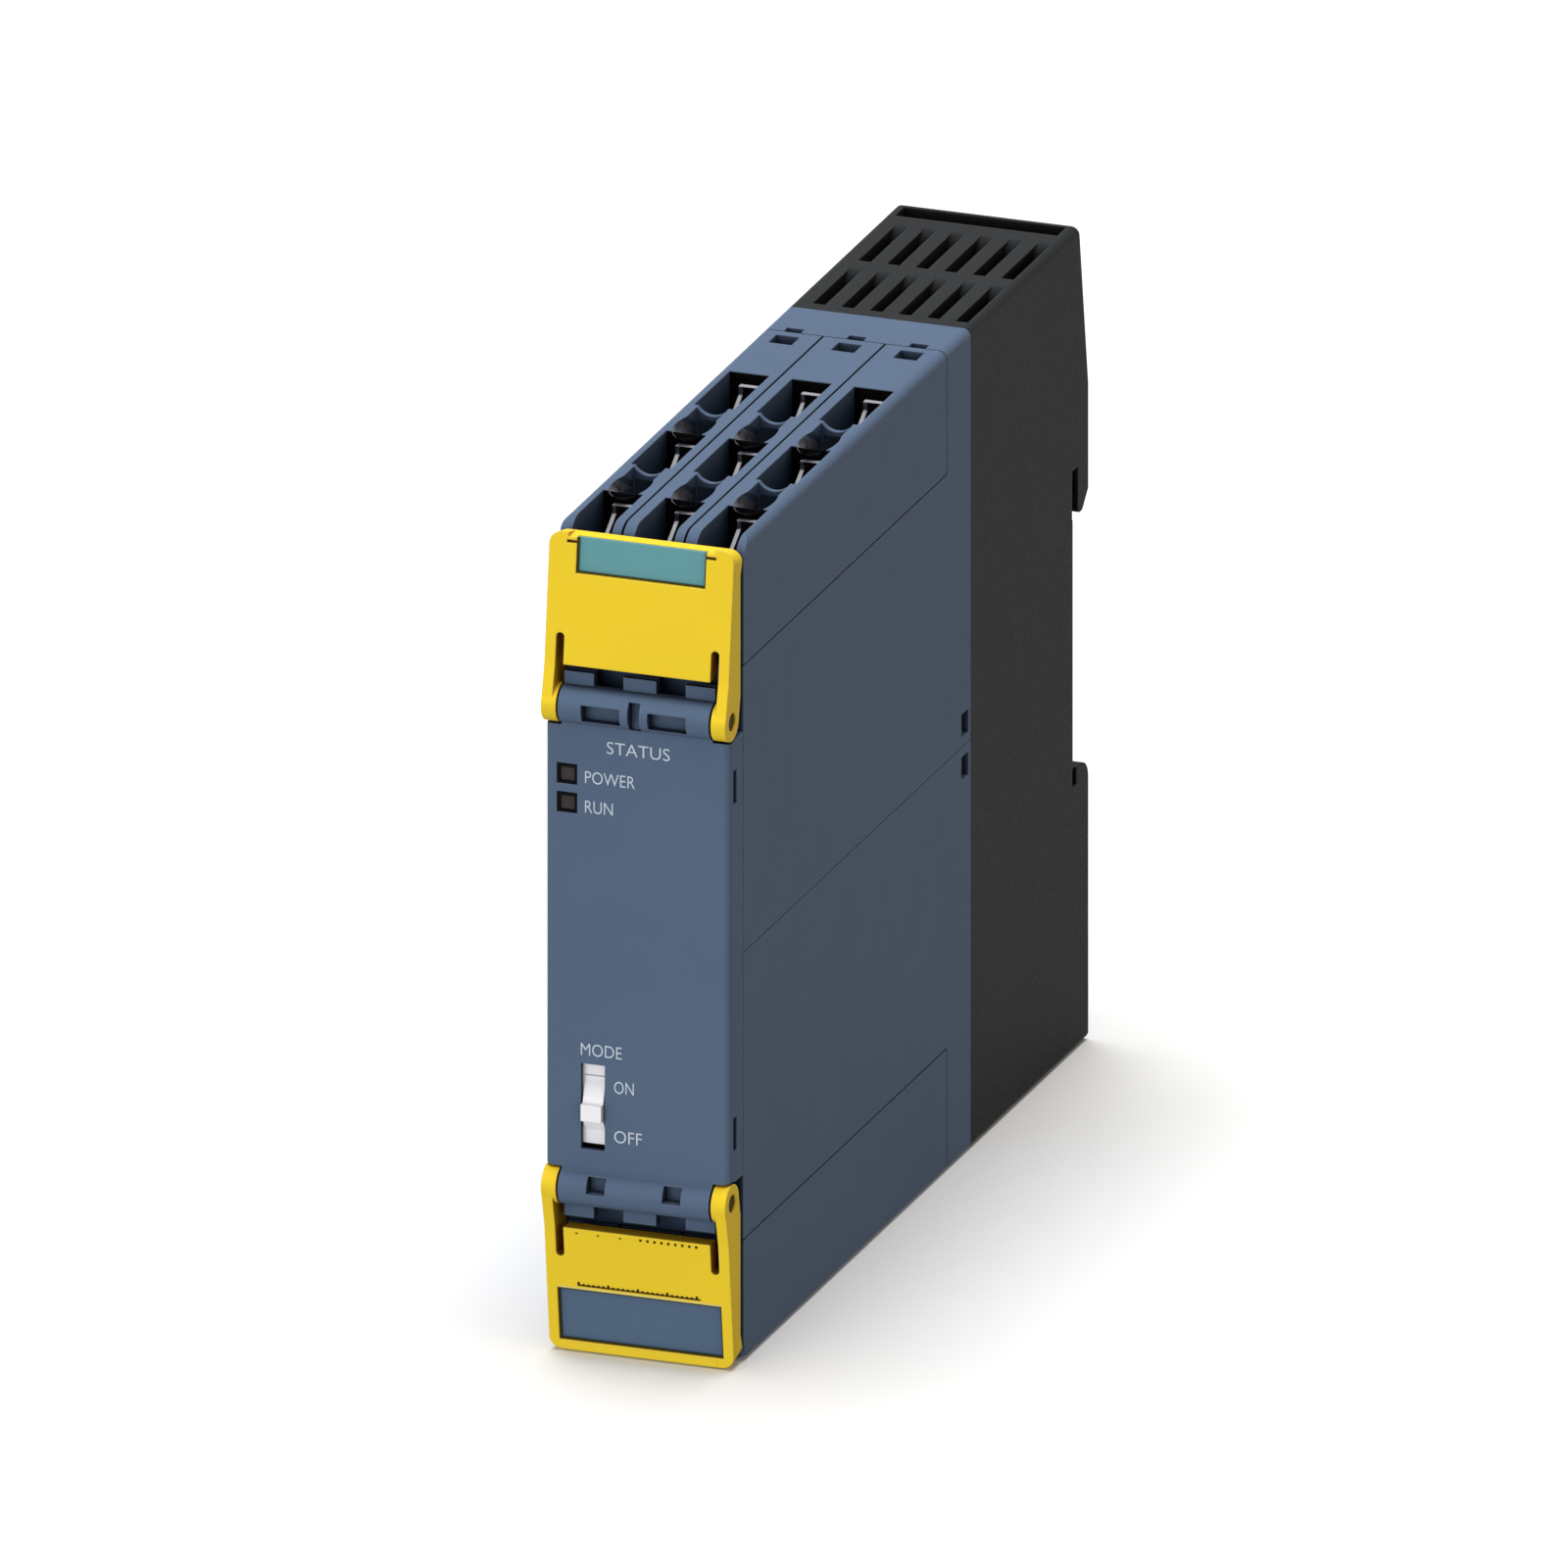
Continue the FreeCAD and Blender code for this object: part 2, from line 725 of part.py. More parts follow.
def clamp_cage(centre, row):
    """Folded sheet cage of one clamp, with its raised tab and the sloping wire guide."""
    middle = centre + well_offset
    back = well_back(row) - cage_back_gap
    front = back - cage_length
    x0 = middle - well_width / 2 + snug
    x1 = middle + well_width / 2 - snug
    z0 = well_floor_z
    z1 = z0 + cage_side_height
    cage = box(x0, x1, front, back, z0, z1)
    cage = cage.cut(box(x0 + cage_sheet, x1 - cage_sheet, front - 1, back - cage_sheet,
                        z0 + cage_sheet, z1 + 1))
    tab_x0 = x1 - tab_width
    tab_back = well_back(row) - tab_setback
    tab_front = tab_back - tab_sheet
    tab_top = height - tab_top_drop
    tab = box(tab_x0, x1, tab_front, tab_back, z1 - cage_sheet, tab_top)
    foot = box(tab_x0, x1, tab_front, back, z1 - cage_sheet, z1)
    guide_top = tab_top - tab_sheet
    guide_back = tab_back - tab_sheet / 2
    guide_front = guide_back - guide_length
    drop = guide_slope * guide_length
    guide = side_prism([(guide_back, guide_top), (guide_front, guide_top - drop),
                        (guide_front, guide_top - drop - guide_height),
                        (guide_back, guide_top - guide_height)], tab_x0, tab_x0 + cage_sheet)
    return cage.fuse([tab, foot, guide]).removeSplitter()


def clamp_screw(centre, row):
    """Set screw, in line with the trough that leads to it."""
    along = screw_direction()
    drop = (trough_lead - screw_setback) * math.tan(math.radians(trough_tilt))
    start = V(centre + well_offset, well_back(row) - screw_setback, height - drop)
    turns = [2 * math.pi * step / screw_sides for step in range(screw_sides)]
    ring = [V(screw_radius * math.cos(turn), 0, screw_radius * math.sin(turn)) for turn in turns]
    screw = Part.Face(Part.makePolygon(ring + ring[:1])).extrude(V(0, screw_length, 0))
    screw.rotate(V(0, 0, 0), V(1, 0, 0), -trough_tilt)
    screw.translate(start)
    return screw


# Contact blades that plug into the blocks from the boards' header strips
def blade_column(centre, row, z0, z1):
    y = well_back(row) - blade_setback
    return box(centre - blade_thickness / 2, centre + blade_thickness / 2,
               y - blade_length / 2, y + blade_length / 2, z0, z1)


def blade(centre, row):
    return blade_column(centre, row, strip_low_z, blade_top_z)


def header_strip(places):
    """Moulded strip under the deck that holds the nine blades upright."""
    y0 = well_back(wells_per_block - 1) - blade_setback - strip_overhang
    y1 = well_back(0) - blade_setback + strip_overhang
    strip = box(-spigot_outer_x, spigot_outer_x, y0, y1, strip_low_z, deck_low_z)
    return strip.cut([blade_column(centre, row, strip_low_z - 1, deck_low_z + 1)
                      for centre, row in places])


# Front plate: the printed face with windows, switch slot and both hinge barrels
def hinge_barrel():
    barrel = cross_rod(barrel_radius, -barrel_half_length, barrel_half_length, barrel_y, barrel_z)
    web = box(-barrel_half_length, barrel_half_length, plate_front_y, plate_front_y + web_depth,
              plate_high_z - plate_side_wall, barrel_z)
    pins = cross_rod(pin_radius, -half_width + slip, half_width - slip, barrel_y, barrel_z)
    tongues = []
    for index in range(blocks_per_row):
        centre = block_centre(index)
        x0 = max(centre - tongue_width / 2, -barrel_half_length)
        x1 = min(centre + tongue_width / 2, barrel_half_length)
        tongues.append(box(x0, x1, barrel_y, barrel_y + tongue_thickness, barrel_z, tongue_top_z))
    return barrel.fuse([web, pins] + tongues)


def ear_clearance():
    """Round room for the cover's right ear at the plate's corner."""
    return cross_rod(barrel_radius + ear_room, barrel_half_length, half_width + 1, barrel_y, barrel_z)


def board_posts():
    """Posts behind the plate that the front board stands on."""
    high = plate_high_z - post_inset
    low = plate_low_z + post_inset
    side = front_board_half - post_margin
    half = post_size / 2
    return [box(x - half, x + half, plate_inner_y - 0.5, front_board_y, z - half, z + half)
            for x, z in ((-side, high), (side, high), (side, low), (0.0, low))]


def barrel_pocket(x_range, z_range, axis_z):
    return box(x_range[0], x_range[1], front_y - 1, front_y + pocket_depth,
               axis_z + z_range[0], axis_z + z_range[1])


def barrel_pockets():
    long_pocket = barrel_pocket(long_pocket_x, long_pocket_z, barrel_z)
    square_pocket = barrel_pocket(square_pocket_x, square_pocket_z, height - barrel_z)
    key_pocket = barrel_pocket(key_pocket_x, key_pocket_z, barrel_z)
    return both_sides(long_pocket) + both_sides(square_pocket) + [key_pocket]


def switch_cuts():
    """Slot for the knob, and the shallow room behind it in which the slider runs."""
    half = slot_width / 2
    room = half + slider_margin + slip
    behind = plate_inner_y + 1
    return [box(switch_x - half, switch_x + half, front_y - 1, behind, slot_low_z, slot_high_z),
            box(switch_x - room, switch_x + room, plate_front_y + slot_rim, behind,
                slider_low_z - switch_travel - slip, slider_high_z + switch_travel + slip)]


def square_cut(half, z, y1):
    return box(window_x - half, window_x + half, front_y - 1, y1, z - half, z + half)


def window_cuts():
    """Stepped square holes for the light pipes."""
    cuts = []
    for count in range(window_count):
        z = top_window_z - count * window_pitch
        cuts.append(square_cut(window_size / 2, z, plate_front_y + window_recess))
        cuts.append(square_cut(window_size / 2 - window_frame, z, plate_inner_y + 1))
    return cuts


def front_plate():
    plate = box(-half_width, half_width, plate_front_y, plate_back_y, plate_low_z, plate_high_z)
    plate = rounded(plate, edge_round, 2, [(x, plate_front_y) for x in (-half_width, half_width)])
    inside = box(-plate_inner_x, plate_inner_x, plate_inner_y, plate_back_y + 1,
                 plate_low_z + plate_side_wall, plate_high_z - plate_side_wall)
    plate = plate.cut([inside] + both_ends(both_sides(ear_clearance())))
    barrel = hinge_barrel()
    plate = plate.fuse([barrel, flipped(barrel)] + board_posts())
    snap_slot = box(plate_inner_x - 1, half_width + 1, snap_y, snap_y + snap_length,
                    snap_low_z, snap_high_z)
    cuts = both_ends(both_sides(snap_slot)) + barrel_pockets() + switch_cuts() + window_cuts()
    return plate.cut(cuts).removeSplitter()


# Hinged covers over the terminals
def leaning_slab(x0, x1, z0, z1, depth0, depth1):
    """Slab that follows the cover's leaning front, from one depth behind it to another."""
    return side_prism([(cover_front_at(z0) + depth0, z0), (cover_front_at(z1) + depth0, z1),
                       (cover_front_at(z1) + depth1, z1), (cover_front_at(z0) + depth1, z0)], x0, x1)


def cover_side_outline():
    """Side view of an arm: from the ear up to the post, with the small flare at the top."""
    flare_top_z = cover_post_z - flare_drop
    flare_low_z = flare_top_z - flare_length
    return [(barrel_y - barrel_radius, barrel_z), (cover_front_at(cover_panel_z), cover_panel_z),
            (cover_front_at(cover_post_z), cover_post_z), (cover_flare_y, flare_top_z),
            (cover_flare_y, flare_low_z), (cover_back_y, flare_low_z - flare_blend),
            (cover_back_y, barrel_z + barrel_radius), (barrel_y + barrel_radius, barrel_z)]


def post_edges(shell):
    """Edges along both ends of the top, where the cover's outer corners are rounded."""
    return [edge for edge in shell.Edges
            if abs(edge.CenterOfMass.x) > half_width - 0.01
            and min(vertex.Z for vertex in edge.Vertexes) > cover_post_z - flare_drop - 0.1
            and edge.Length > 1]


def cover_slot(side):
    """Slot between an arm and the panel, with a round upper end."""
    radius = cover_slot_width / 2
    middle = side * (arm_x - radius)
    end_z = cover_slot_z - radius
    straight = box(middle - radius, middle + radius, front_y - 1, housing_front_y,
                   barrel_z - barrel_radius, end_z)
    return straight.fuse(Part.makeCylinder(radius, housing_setback + 1, V(middle, front_y - 1, end_z),
                                           V(0, 1, 0)))


def label_slits(half):
    """Short slits under the rim at both ends of the upper label, where it is pushed in."""
    high_z = cover_top_z - label_slit_drop
    slit = leaning_slab(half - label_gap, half + label_slit_length, high_z - label_slit_height, high_z,
                        -1, label_recess)
    return both_sides(slit)


def cover(label):
    shell = side_prism(cover_side_outline(), -half_width, half_width)
    shell = shell.makeFillet(cover_corner_round, post_edges(shell))
    low_z = barrel_z - 2 * barrel_radius
    inner_top_z = cover_top_z - cover_roof
    inside = side_prism([(cover_front_at(low_z) + cover_wall, low_z),
                         (cover_front_at(inner_top_z) + cover_wall, inner_top_z),
                         (housing_front_y, inner_top_z), (housing_front_y, low_z)], -arm_x, arm_x)
    rim_cut = box(-arm_x, arm_x, cover_rim_y, housing_front_y, cover_top_z - rim_height, height + 1)
    panel_x = arm_x - cover_slot_width
    top_cut = box(-panel_x, panel_x, front_y, housing_front_y, cover_top_z, height + 1)
    under = box(-arm_x, arm_x, front_y - 1, housing_front_y, low_z, cover_panel_z)
    shell = shell.cut([inside, rim_cut, top_cut, under, cover_slot(-1), cover_slot(1)])
    ear = cross_rod(barrel_radius, half_width - ear_thickness, half_width, barrel_y, barrel_z)
    bore = cross_rod(pin_radius + pin_play, -half_width - 1, half_width + 1, barrel_y, barrel_z)
    half, z0, z1 = label
    cuts = [bore, leaning_slab(-half, half, z0, z1, -1, label_recess)]
    if label is upper_label:
        cuts += label_slits(half)
    return shell.fuse(both_sides(ear)).cut(cuts).removeSplitter()


def label_plate(label):
    half, z0, z1 = label
    return leaning_slab(-half + label_gap, half - label_gap, z0 + label_gap, z1 - label_gap,
                        label_recess - label_thickness, label_recess)


# Slide switch: the slider under the plate and the body it works in
def switch_slider():
    half = slot_width / 2 + slider_margin
    base = box(switch_x - half, switch_x + half, slider_front_y, slider_back_y,
               slider_low_z, slider_high_z)
    ramp_low_z = slot_low_z + switch_travel + slip
    ramp_high_z = slot_high_z - switch_travel - slip
    knob_y = plate_front_y - knob_proud
    knob_half = slot_width / 2 - slip
    knob = side_prism([(slider_back_y, ramp_low_z), (slider_front_y, ramp_low_z),
                       (plate_front_y, knob_low_z), (knob_y, knob_low_z), (knob_y, knob_high_z),
                       (plate_front_y, knob_high_z), (slider_front_y, ramp_high_z),
                       (slider_back_y, ramp_high_z)], switch_x - knob_half, switch_x + knob_half)
    foot = box(switch_x - foot_half, switch_x + foot_half, slider_back_y - 0.1,
               slider_back_y + foot_length, knob_middle_z - foot_half_height,
               knob_middle_z + foot_half_height)
    return base.fuse([knob, foot]).removeSplitter()


def switch_body():
    front = slider_back_y + slip
    body = box(switch_x - switch_body_half, switch_x + switch_body_half, front, front_board_y,
               slot_low_z - switch_body_margin, slot_high_z - switch_body_margin)
    room_half = foot_half + slip
    room_height = foot_half_height + switch_travel + slip
    room = box(switch_x - room_half, switch_x + room_half, front - 1,
               slider_back_y + foot_length + slip, knob_middle_z - room_height,
               knob_middle_z + room_height)
    return body.cut(room)


# Indicators: light pipes in the plate, lamps on the front board
def light_pipe(count):
    z = top_window_z - count * window_pitch
    half = window_size / 2 - window_frame - pipe_play
    return box(window_x - half, window_x + half, plate_front_y + pipe_recess,
               front_board_y - lamp_height - slip, z - half, z + half)


def indicator_lamps():
    half = lamp_height / 2
    lamps = []
    for count in range(window_count):
        z = top_window_z - count * window_pitch
        lamps.append(box(-front_board_half, -front_board_half + lamp_width,
                         front_board_y - lamp_height, front_board_y, z - half, z + half))
    return group(lamps)


def front_board():
    low_z = plate_low_z + plate_side_wall + front_board_play
    return box(-front_board_half, front_board_half, front_board_y, front_board_y + board_thickness,
               low_z, height - low_z)


# Main board with relays, supply and logic
def main_board():
    step_y = collar_back_y + board_step
    low_z = height - main_board_high_z
    outline = [(main_board_front_y, low_z), (step_y, low_z), (step_y, board_end_margin),
               (main_board_back_y, board_end_margin), (main_board_back_y, height - board_end_margin),
               (step_y, height - board_end_margin), (step_y, main_board_high_z),
               (main_board_front_y, main_board_high_z)]
    return side_prism(outline, main_board_x, board_face_x)


def relay(count):
    z = middle_z + (count - (relay_count - 1) / 2) * (relay_length + relay_gap)
    top_x = board_face_x + relay_rise
    back = relay_front_y + relay_width
    case = box(board_face_x, top_x, relay_front_y, back, z - relay_length / 2, z + relay_length / 2)
    return rounded(case, relay_round, 2, [(top_x, relay_front_y), (top_x, back)])


def on_board(rise, y, z, half_y, half_z, start=0.0):
    """Block on the main board's face, centred at y and z."""
    return box(board_face_x + start, board_face_x + rise, y - half_y, y + half_y,
               z - half_z, z + half_z)


def transformer_core():
    yoke = on_board(core_rise, transformer_y, transformer_z, core_length / 2, core_height / 2)
    offset = (core_leg + core_window) / 2
    openings = [on_board(core_rise + 1, transformer_y + side * offset, transformer_z,
                         core_window / 2, core_height / 2 - core_yoke, -1) for side in (-1, 1)]
    return yoke.cut(openings)


def transformer_coil():
    """Winding round the middle leg, filling both windows."""
    outer_y = core_leg / 2 + core_window - coil_play
    outer_z = core_height / 2 - core_yoke - coil_play
    outer = on_board(core_rise - coil_inset, transformer_y, transformer_z, outer_y, outer_z, coil_inset)
    leg = on_board(core_rise, transformer_y, transformer_z, core_leg / 2 + coil_play, core_height / 2)
    return outer.cut(leg)


def capacitor(y, z, radius, rise):
    """Upright can on the main board."""
    return cross_rod(radius, board_face_x, board_face_x + rise, y, z)


def logic_chips():
    chips = []
    for distance, length in chip_rows:
        for z in (middle_z - chip_lift, middle_z + chip_lift):
            chips.append(on_board(chip_rise, front_board_y + distance, z, length / 2, chip_across / 2))
    return group(chips)


def board_connector():
    """Right-angle connector that joins the main board to the front board."""
    y0 = front_board_y + board_thickness
    return box(board_face_x, board_face_x + connector_rise, y0, y0 + connector_rise,
               middle_z - connector_half, middle_z + connector_half)


# Rail fixing: pusher, leaf spring and the retainer above it
def rail_pusher():
    stem = box(-pusher_half_width, pusher_half_width, pusher_front_y, pusher_back_y,
               pusher_low_z, pusher_top_z)
    head = box(-pusher_head_half_width, pusher_head_half_width, pusher_front_y, pusher_back_y,
               pusher_ledge_z + slip, pusher_top_z)
    return stem.fuse(head).removeSplitter()


def rail_spring():
    """Bowed strip: its ends bear on the retainer and its crown on the pusher's head."""
    half = pusher_head_half_width - spring_inset
    high = retainer_low_z - snug
    low = pusher_top_z + snug
    y0 = pusher_front_y + snug
    inner_half = half - spring_strip
    outer = Part.Arc(V(-half, y0, high), V(0, y0, low), V(half, y0, high)).toShape()
    inner = Part.Arc(V(inner_half, y0, high), V(0, y0, low + spring_strip),
                     V(-inner_half, y0, high)).toShape()
    right = Part.makeLine(V(half, y0, high), V(inner_half, y0, high))
    left = Part.makeLine(V(-inner_half, y0, high), V(-half, y0, high))
    face = Part.Face(Part.Wire([outer, right, inner, left]))
    return face.extrude(V(0, pusher_thickness - 2 * snug, 0))


def spring_retainer():
    half = pusher_head_half_width + pusher_side_play
    return box(-half, half, rail_face_y, hook_groove_y, retainer_low_z, retainer_top_z)


def save_both_ends(name, shape):
    """One piece at the top and its mirror image at the bottom."""
    save("upper_" + name, shape)
    save("lower_" + name, flipped(shape))


def main():
    os.makedirs("parts", exist_ok=True)
    save("rear_housing", rear_housing())
    save_both_ends("front_housing", upper_front_housing())
    save("front_plate", front_plate())
    save("upper_cover", cover(upper_label))
    save("lower_cover", flipped(cover(lower_label)))
    save("upper_label_plate", label_plate(upper_label))
    save("lower_label_plate", flipped(label_plate(lower_label)))
    save("switch_slider", switch_slider())
    save("switch_body", switch_body())
    save("upper_light_pipe", light_pipe(0))
    save("lower_light_pipe", light_pipe(1))
    save("indicator_lamps", indicator_lamps())
    save("front_board", front_board())
    save("main_board", main_board())
    for count in range(relay_count):
        save("relay_%d" % (count + 1), relay(count))
    save("transformer_core", transformer_core())
    save("transformer_coil", transformer_coil())
    save("large_capacitor", capacitor(transformer_y, middle_z - large_drop, large_radius, large_rise))
    save("small_capacitor", capacitor(collar_front_y - small_setback, middle_z - small_drop,
                                      small_radius, small_rise))
    save("logic_chips", logic_chips())
    save("board_connector", board_connector())
    places = [(block_centre(index), row) for index in range(blocks_per_row)
              for row in range(wells_per_block)]
    save_both_ends("header_strip", header_strip(places))
    save_both_ends("contact_blades", group([blade(centre, row) for centre, row in places]))
    for index in range(blocks_per_row):
        centre = block_centre(index)
        rows = range(wells_per_block)
        save_both_ends("terminal_%d" % (index + 1), terminal_block(index))
        save_both_ends("clamps_%d" % (index + 1), group([clamp_cage(centre, row) for row in rows]))
        save_both_ends("clamp_screws_%d" % (index + 1),
                       group([clamp_screw(centre, row) for row in rows]))
    save("rail_pusher", rail_pusher())
    save("rail_spring", rail_spring())
    save("spring_retainer", spring_retainer())


main()
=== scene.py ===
# %% [markdown]
# # Dressing a safety relay for a studio picture
#
# The relay is a narrow module that clips on a rail in a control cabinet. Its hard parts arrive as
# a finished frame: every moulding, cage, screw and board at its real size, each as a mesh in metres.
# That frame is not touched here. This lesson gives each piece the surface that the real one has,
# adds the printing that is too thin to be a part, and sets up the camera, the floor and the lamps.
#
# Loading the frame comes first, because everything else takes its place and size from it. The box
# round the bare frame is kept, and the camera is aimed at its middle.

# %% Load the frame
import json
import math
from collections import namedtuple

import bmesh
import bpy
from mathutils import Matrix, Vector


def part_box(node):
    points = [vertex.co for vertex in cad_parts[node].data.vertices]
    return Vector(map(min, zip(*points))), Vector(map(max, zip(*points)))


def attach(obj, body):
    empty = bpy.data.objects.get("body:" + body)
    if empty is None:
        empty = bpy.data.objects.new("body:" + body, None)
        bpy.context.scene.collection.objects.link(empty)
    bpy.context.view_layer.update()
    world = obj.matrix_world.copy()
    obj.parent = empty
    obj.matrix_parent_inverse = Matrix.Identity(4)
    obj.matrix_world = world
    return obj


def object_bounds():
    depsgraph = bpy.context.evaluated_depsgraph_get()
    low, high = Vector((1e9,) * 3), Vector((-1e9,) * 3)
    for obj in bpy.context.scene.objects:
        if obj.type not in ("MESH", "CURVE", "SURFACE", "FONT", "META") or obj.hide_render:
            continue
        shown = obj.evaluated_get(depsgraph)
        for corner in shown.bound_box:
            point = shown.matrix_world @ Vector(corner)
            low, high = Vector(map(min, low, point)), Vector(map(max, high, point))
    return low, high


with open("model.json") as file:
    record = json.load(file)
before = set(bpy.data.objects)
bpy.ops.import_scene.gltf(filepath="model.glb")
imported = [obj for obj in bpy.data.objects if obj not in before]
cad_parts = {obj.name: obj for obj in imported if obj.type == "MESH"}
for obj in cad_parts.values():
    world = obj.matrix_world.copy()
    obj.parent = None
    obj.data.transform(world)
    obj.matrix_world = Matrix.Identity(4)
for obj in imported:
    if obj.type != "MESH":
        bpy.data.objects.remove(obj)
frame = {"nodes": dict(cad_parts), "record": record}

nodes = frame["nodes"]
record = frame["record"]
scene = bpy.context.scene
frame_low, frame_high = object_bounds()
print("nodes in the frame:", len(nodes))
print("frame box in mm:", [round(1000 * (b - a), 2) for a, b in zip(frame_low, frame_high)])

# %% [markdown]
# ## The camera
#
# The picture to match is a catalogue view without perspective: edges that are parallel on the module
# stay parallel. A perspective camera far away would come close, but an orthographic one is exact, and
# its scale can be read straight off the picture. The view comes from 20 degrees to the right of the
# front and 20 degrees above it. The module sits a little off the picture's middle, so the camera is
# moved across its view by that much, which keeps its lens shift at zero.

# %% Camera
MM = 0.001
picture_pixels = 1600
pixels_per_mm = 8.907
view_turn = math.radians(20)
view_rise = math.radians(20)
centre_pixel = (831.1, 803.8)       # where the middle of the module's box shows in the picture
camera_distance = 0.8
camera_range = (0.01, 5.0)          # nearest and farthest thing that it sees

to_camera = Vector((math.sin(view_turn) * math.cos(view_rise),
                    -math.cos(view_turn) * math.cos(view_rise),
                    math.sin(view_rise)))
camera_right = Vector((math.cos(view_turn), math.sin(view_turn), 0))
camera_up = to_camera.cross(camera_right)
box_centre = (frame_low + frame_high) / 2

camera_data = bpy.data.cameras.new("camera")
camera_data.type = "ORTHO"
camera_data.ortho_scale = picture_pixels / pixels_per_mm * MM
camera_data.clip_start, camera_data.clip_end = camera_range
camera = bpy.data.objects.new("camera", camera_data)
scene.collection.objects.link(camera)
half_picture = picture_pixels / 2
aim = (box_centre
       - camera_right * (centre_pixel[0] - half_picture) / pixels_per_mm * MM
       + camera_up * (centre_pixel[1] - half_picture) / pixels_per_mm * MM)
camera.location = aim + to_camera * camera_distance
camera.rotation_mode = "QUATERNION"
camera.rotation_quaternion = (-to_camera).to_track_quat("-Z", "Y")
scene.camera = camera
print("camera looks from", [round(c, 3) for c in camera.location])

# %% [markdown]
# ## Small tools for node trees
#
# A material is a graph. Writing it with a few short helpers keeps each recipe readable: one adds a
# node with its properties, one sets a node's inputs, one wires an output to an input, and one makes
# an opaque colour. Numbers that are the same all over a surface are set on the shader's own inputs.

# %% Helpers for node trees
def add_node(tree, kind, **settings):
    """A node of a tree, with its properties set."""
    node = tree.nodes.new(kind)
    for name, value in settings.items():
        setattr(node, name, value)
    return node


def put(node, **values):
    """Sets inputs by name, with spaces written as underscores."""
    for name, value in values.items():
        node.inputs[name.replace("_", " ")].default_value = value
    return node


def wire(tree, source, target):
    """Links an output to an input."""
    tree.links.new(source, target)


def colour(red, green, blue):
    """An opaque colour."""
    return (red, green, blue, 1.0)


print("white is", colour(1, 1, 1))

# %% [markdown]
# ## Shared effect: moulding grain
#
# The tool that a housing is moulded in is spark-eroded, which leaves an even grain of shallow pits,
# a third of a millimetre across. It breaks up the shine, and makes plastic look like plastic. Under
# it, pigment and cooling leave very faint clouds. Both come from noise in object coordinates, so the
# grain has one size on every piece. As a node group it is built once, and each plastic sets its depth.

# %% Node group for moulding grain
def start_group(name, inputs, outputs):
    """An empty node group with named float inputs and outputs of the given kinds."""
    group = bpy.data.node_groups.new(name, "ShaderNodeTree")
    for label, value in inputs.items():
        socket = group.interface.new_socket(label, in_out="INPUT", socket_type="NodeSocketFloat")
        socket.default_value = value
    for label, kind in outputs.items():
        group.interface.new_socket(label, in_out="OUTPUT", socket_type=kind)
    return group, group.nodes.new("NodeGroupInput"), group.nodes.new("NodeGroupOutput")


def build_grain():
    """Pits and clouds, as two values that change over the surface."""
    tree, given, result = start_group(
        "moulding grain",
        {"Pits per metre": 2600.0, "Clouds per metre": 45.0},
        {"Height": "NodeSocketFloat", "Clouds": "NodeSocketFloat"})
    place = tree.nodes.new("ShaderNodeTexCoord")
    pits = put(add_node(tree, "ShaderNodeTexNoise"), Detail=2.0, Roughness=0.55)
    clouds = put(add_node(tree, "ShaderNodeTexNoise"), Detail=3.0, Roughness=0.6)
    for noise, label in ((pits, "Pits per metre"), (clouds, "Clouds per metre")):
        wire(tree, place.outputs["Object"], noise.inputs["Vector"])
        wire(tree, given.outputs[label], noise.inputs["Scale"])
    wire(tree, pits.outputs["Fac"], result.inputs["Height"])
    wire(tree, clouds.outputs["Fac"], result.inputs["Clouds"])
    return tree


grain_group = build_grain()
print("built", grain_group.name)

# %% [markdown]
# ## Shared effect: softened edges
#
# No moulded or stamped edge is truly sharp. A radius of a few tenths of a millimetre catches the
# light and draws a thin bright line along the edge, which is most of what tells the eye that a thing
# is real and small. The frame's meshes are sharp there, and they are not to be changed, so the
# rounding is done on the normal alone: the Bevel node bends it near an edge as a real radius would.
# Comparing the bent normal with the true one also gives a mask of the edges, which the plastics use
# to paint a faint highlight on theirs, a little lighter than the dye.

# %% Node group for softened edges
def build_edges():
    """The bent normal near edges, and a mask of them."""
    tree, given, result = start_group(
        "softened edges",
        {"Radius": 0.00025, "Edge gain": 6.0},
        {"Normal": "NodeSocketVector", "Edges": "NodeSocketFloat"})
    bevel = add_node(tree, "ShaderNodeBevel", samples=6)
    wire(tree, given.outputs["Radius"], bevel.inputs["Radius"])
    flat = tree.nodes.new("ShaderNodeNewGeometry")
    agree = add_node(tree, "ShaderNodeVectorMath", operation="DOT_PRODUCT")
    wire(tree, bevel.outputs["Normal"], agree.inputs[0])
    wire(tree, flat.outputs["Normal"], agree.inputs[1])
    differ = add_node(tree, "ShaderNodeMath", operation="SUBTRACT")
    differ.inputs[0].default_value = 1.0
    wire(tree, agree.outputs["Value"], differ.inputs[1])
    gain = add_node(tree, "ShaderNodeMath", operation="MULTIPLY", use_clamp=True)
    wire(tree, differ.outputs["Value"], gain.inputs[0])
    wire(tree, given.outputs["Edge gain"], gain.inputs[1])
    wire(tree, bevel.outputs["Normal"], result.inputs["Normal"])
    wire(tree, gain.outputs["Value"], result.inputs["Edges"])
    return tree


edges_group = build_edges()
print("built", edges_group.name)

# %% [markdown]
# ## Steps that the recipes share
#
# Plastics and metals are built alike. A ramp turns a noise into a drift between two tones, the
# roughness drifts with another noise, and that noise also raises a shallow bump on top of the softened
# edges. Each step is a function that adds its nodes to the material's own tree.

# %% Shared steps of the recipes
noise_low, noise_high = 0.3, 0.7    # most of a noise lies between these


def new_material(name):
    """A new material, with its node tree and its shader."""
    material = bpy.data.materials.new(name)
    material.use_nodes = True
    return material, material.node_tree, material.node_tree.nodes["Principled BSDF"]


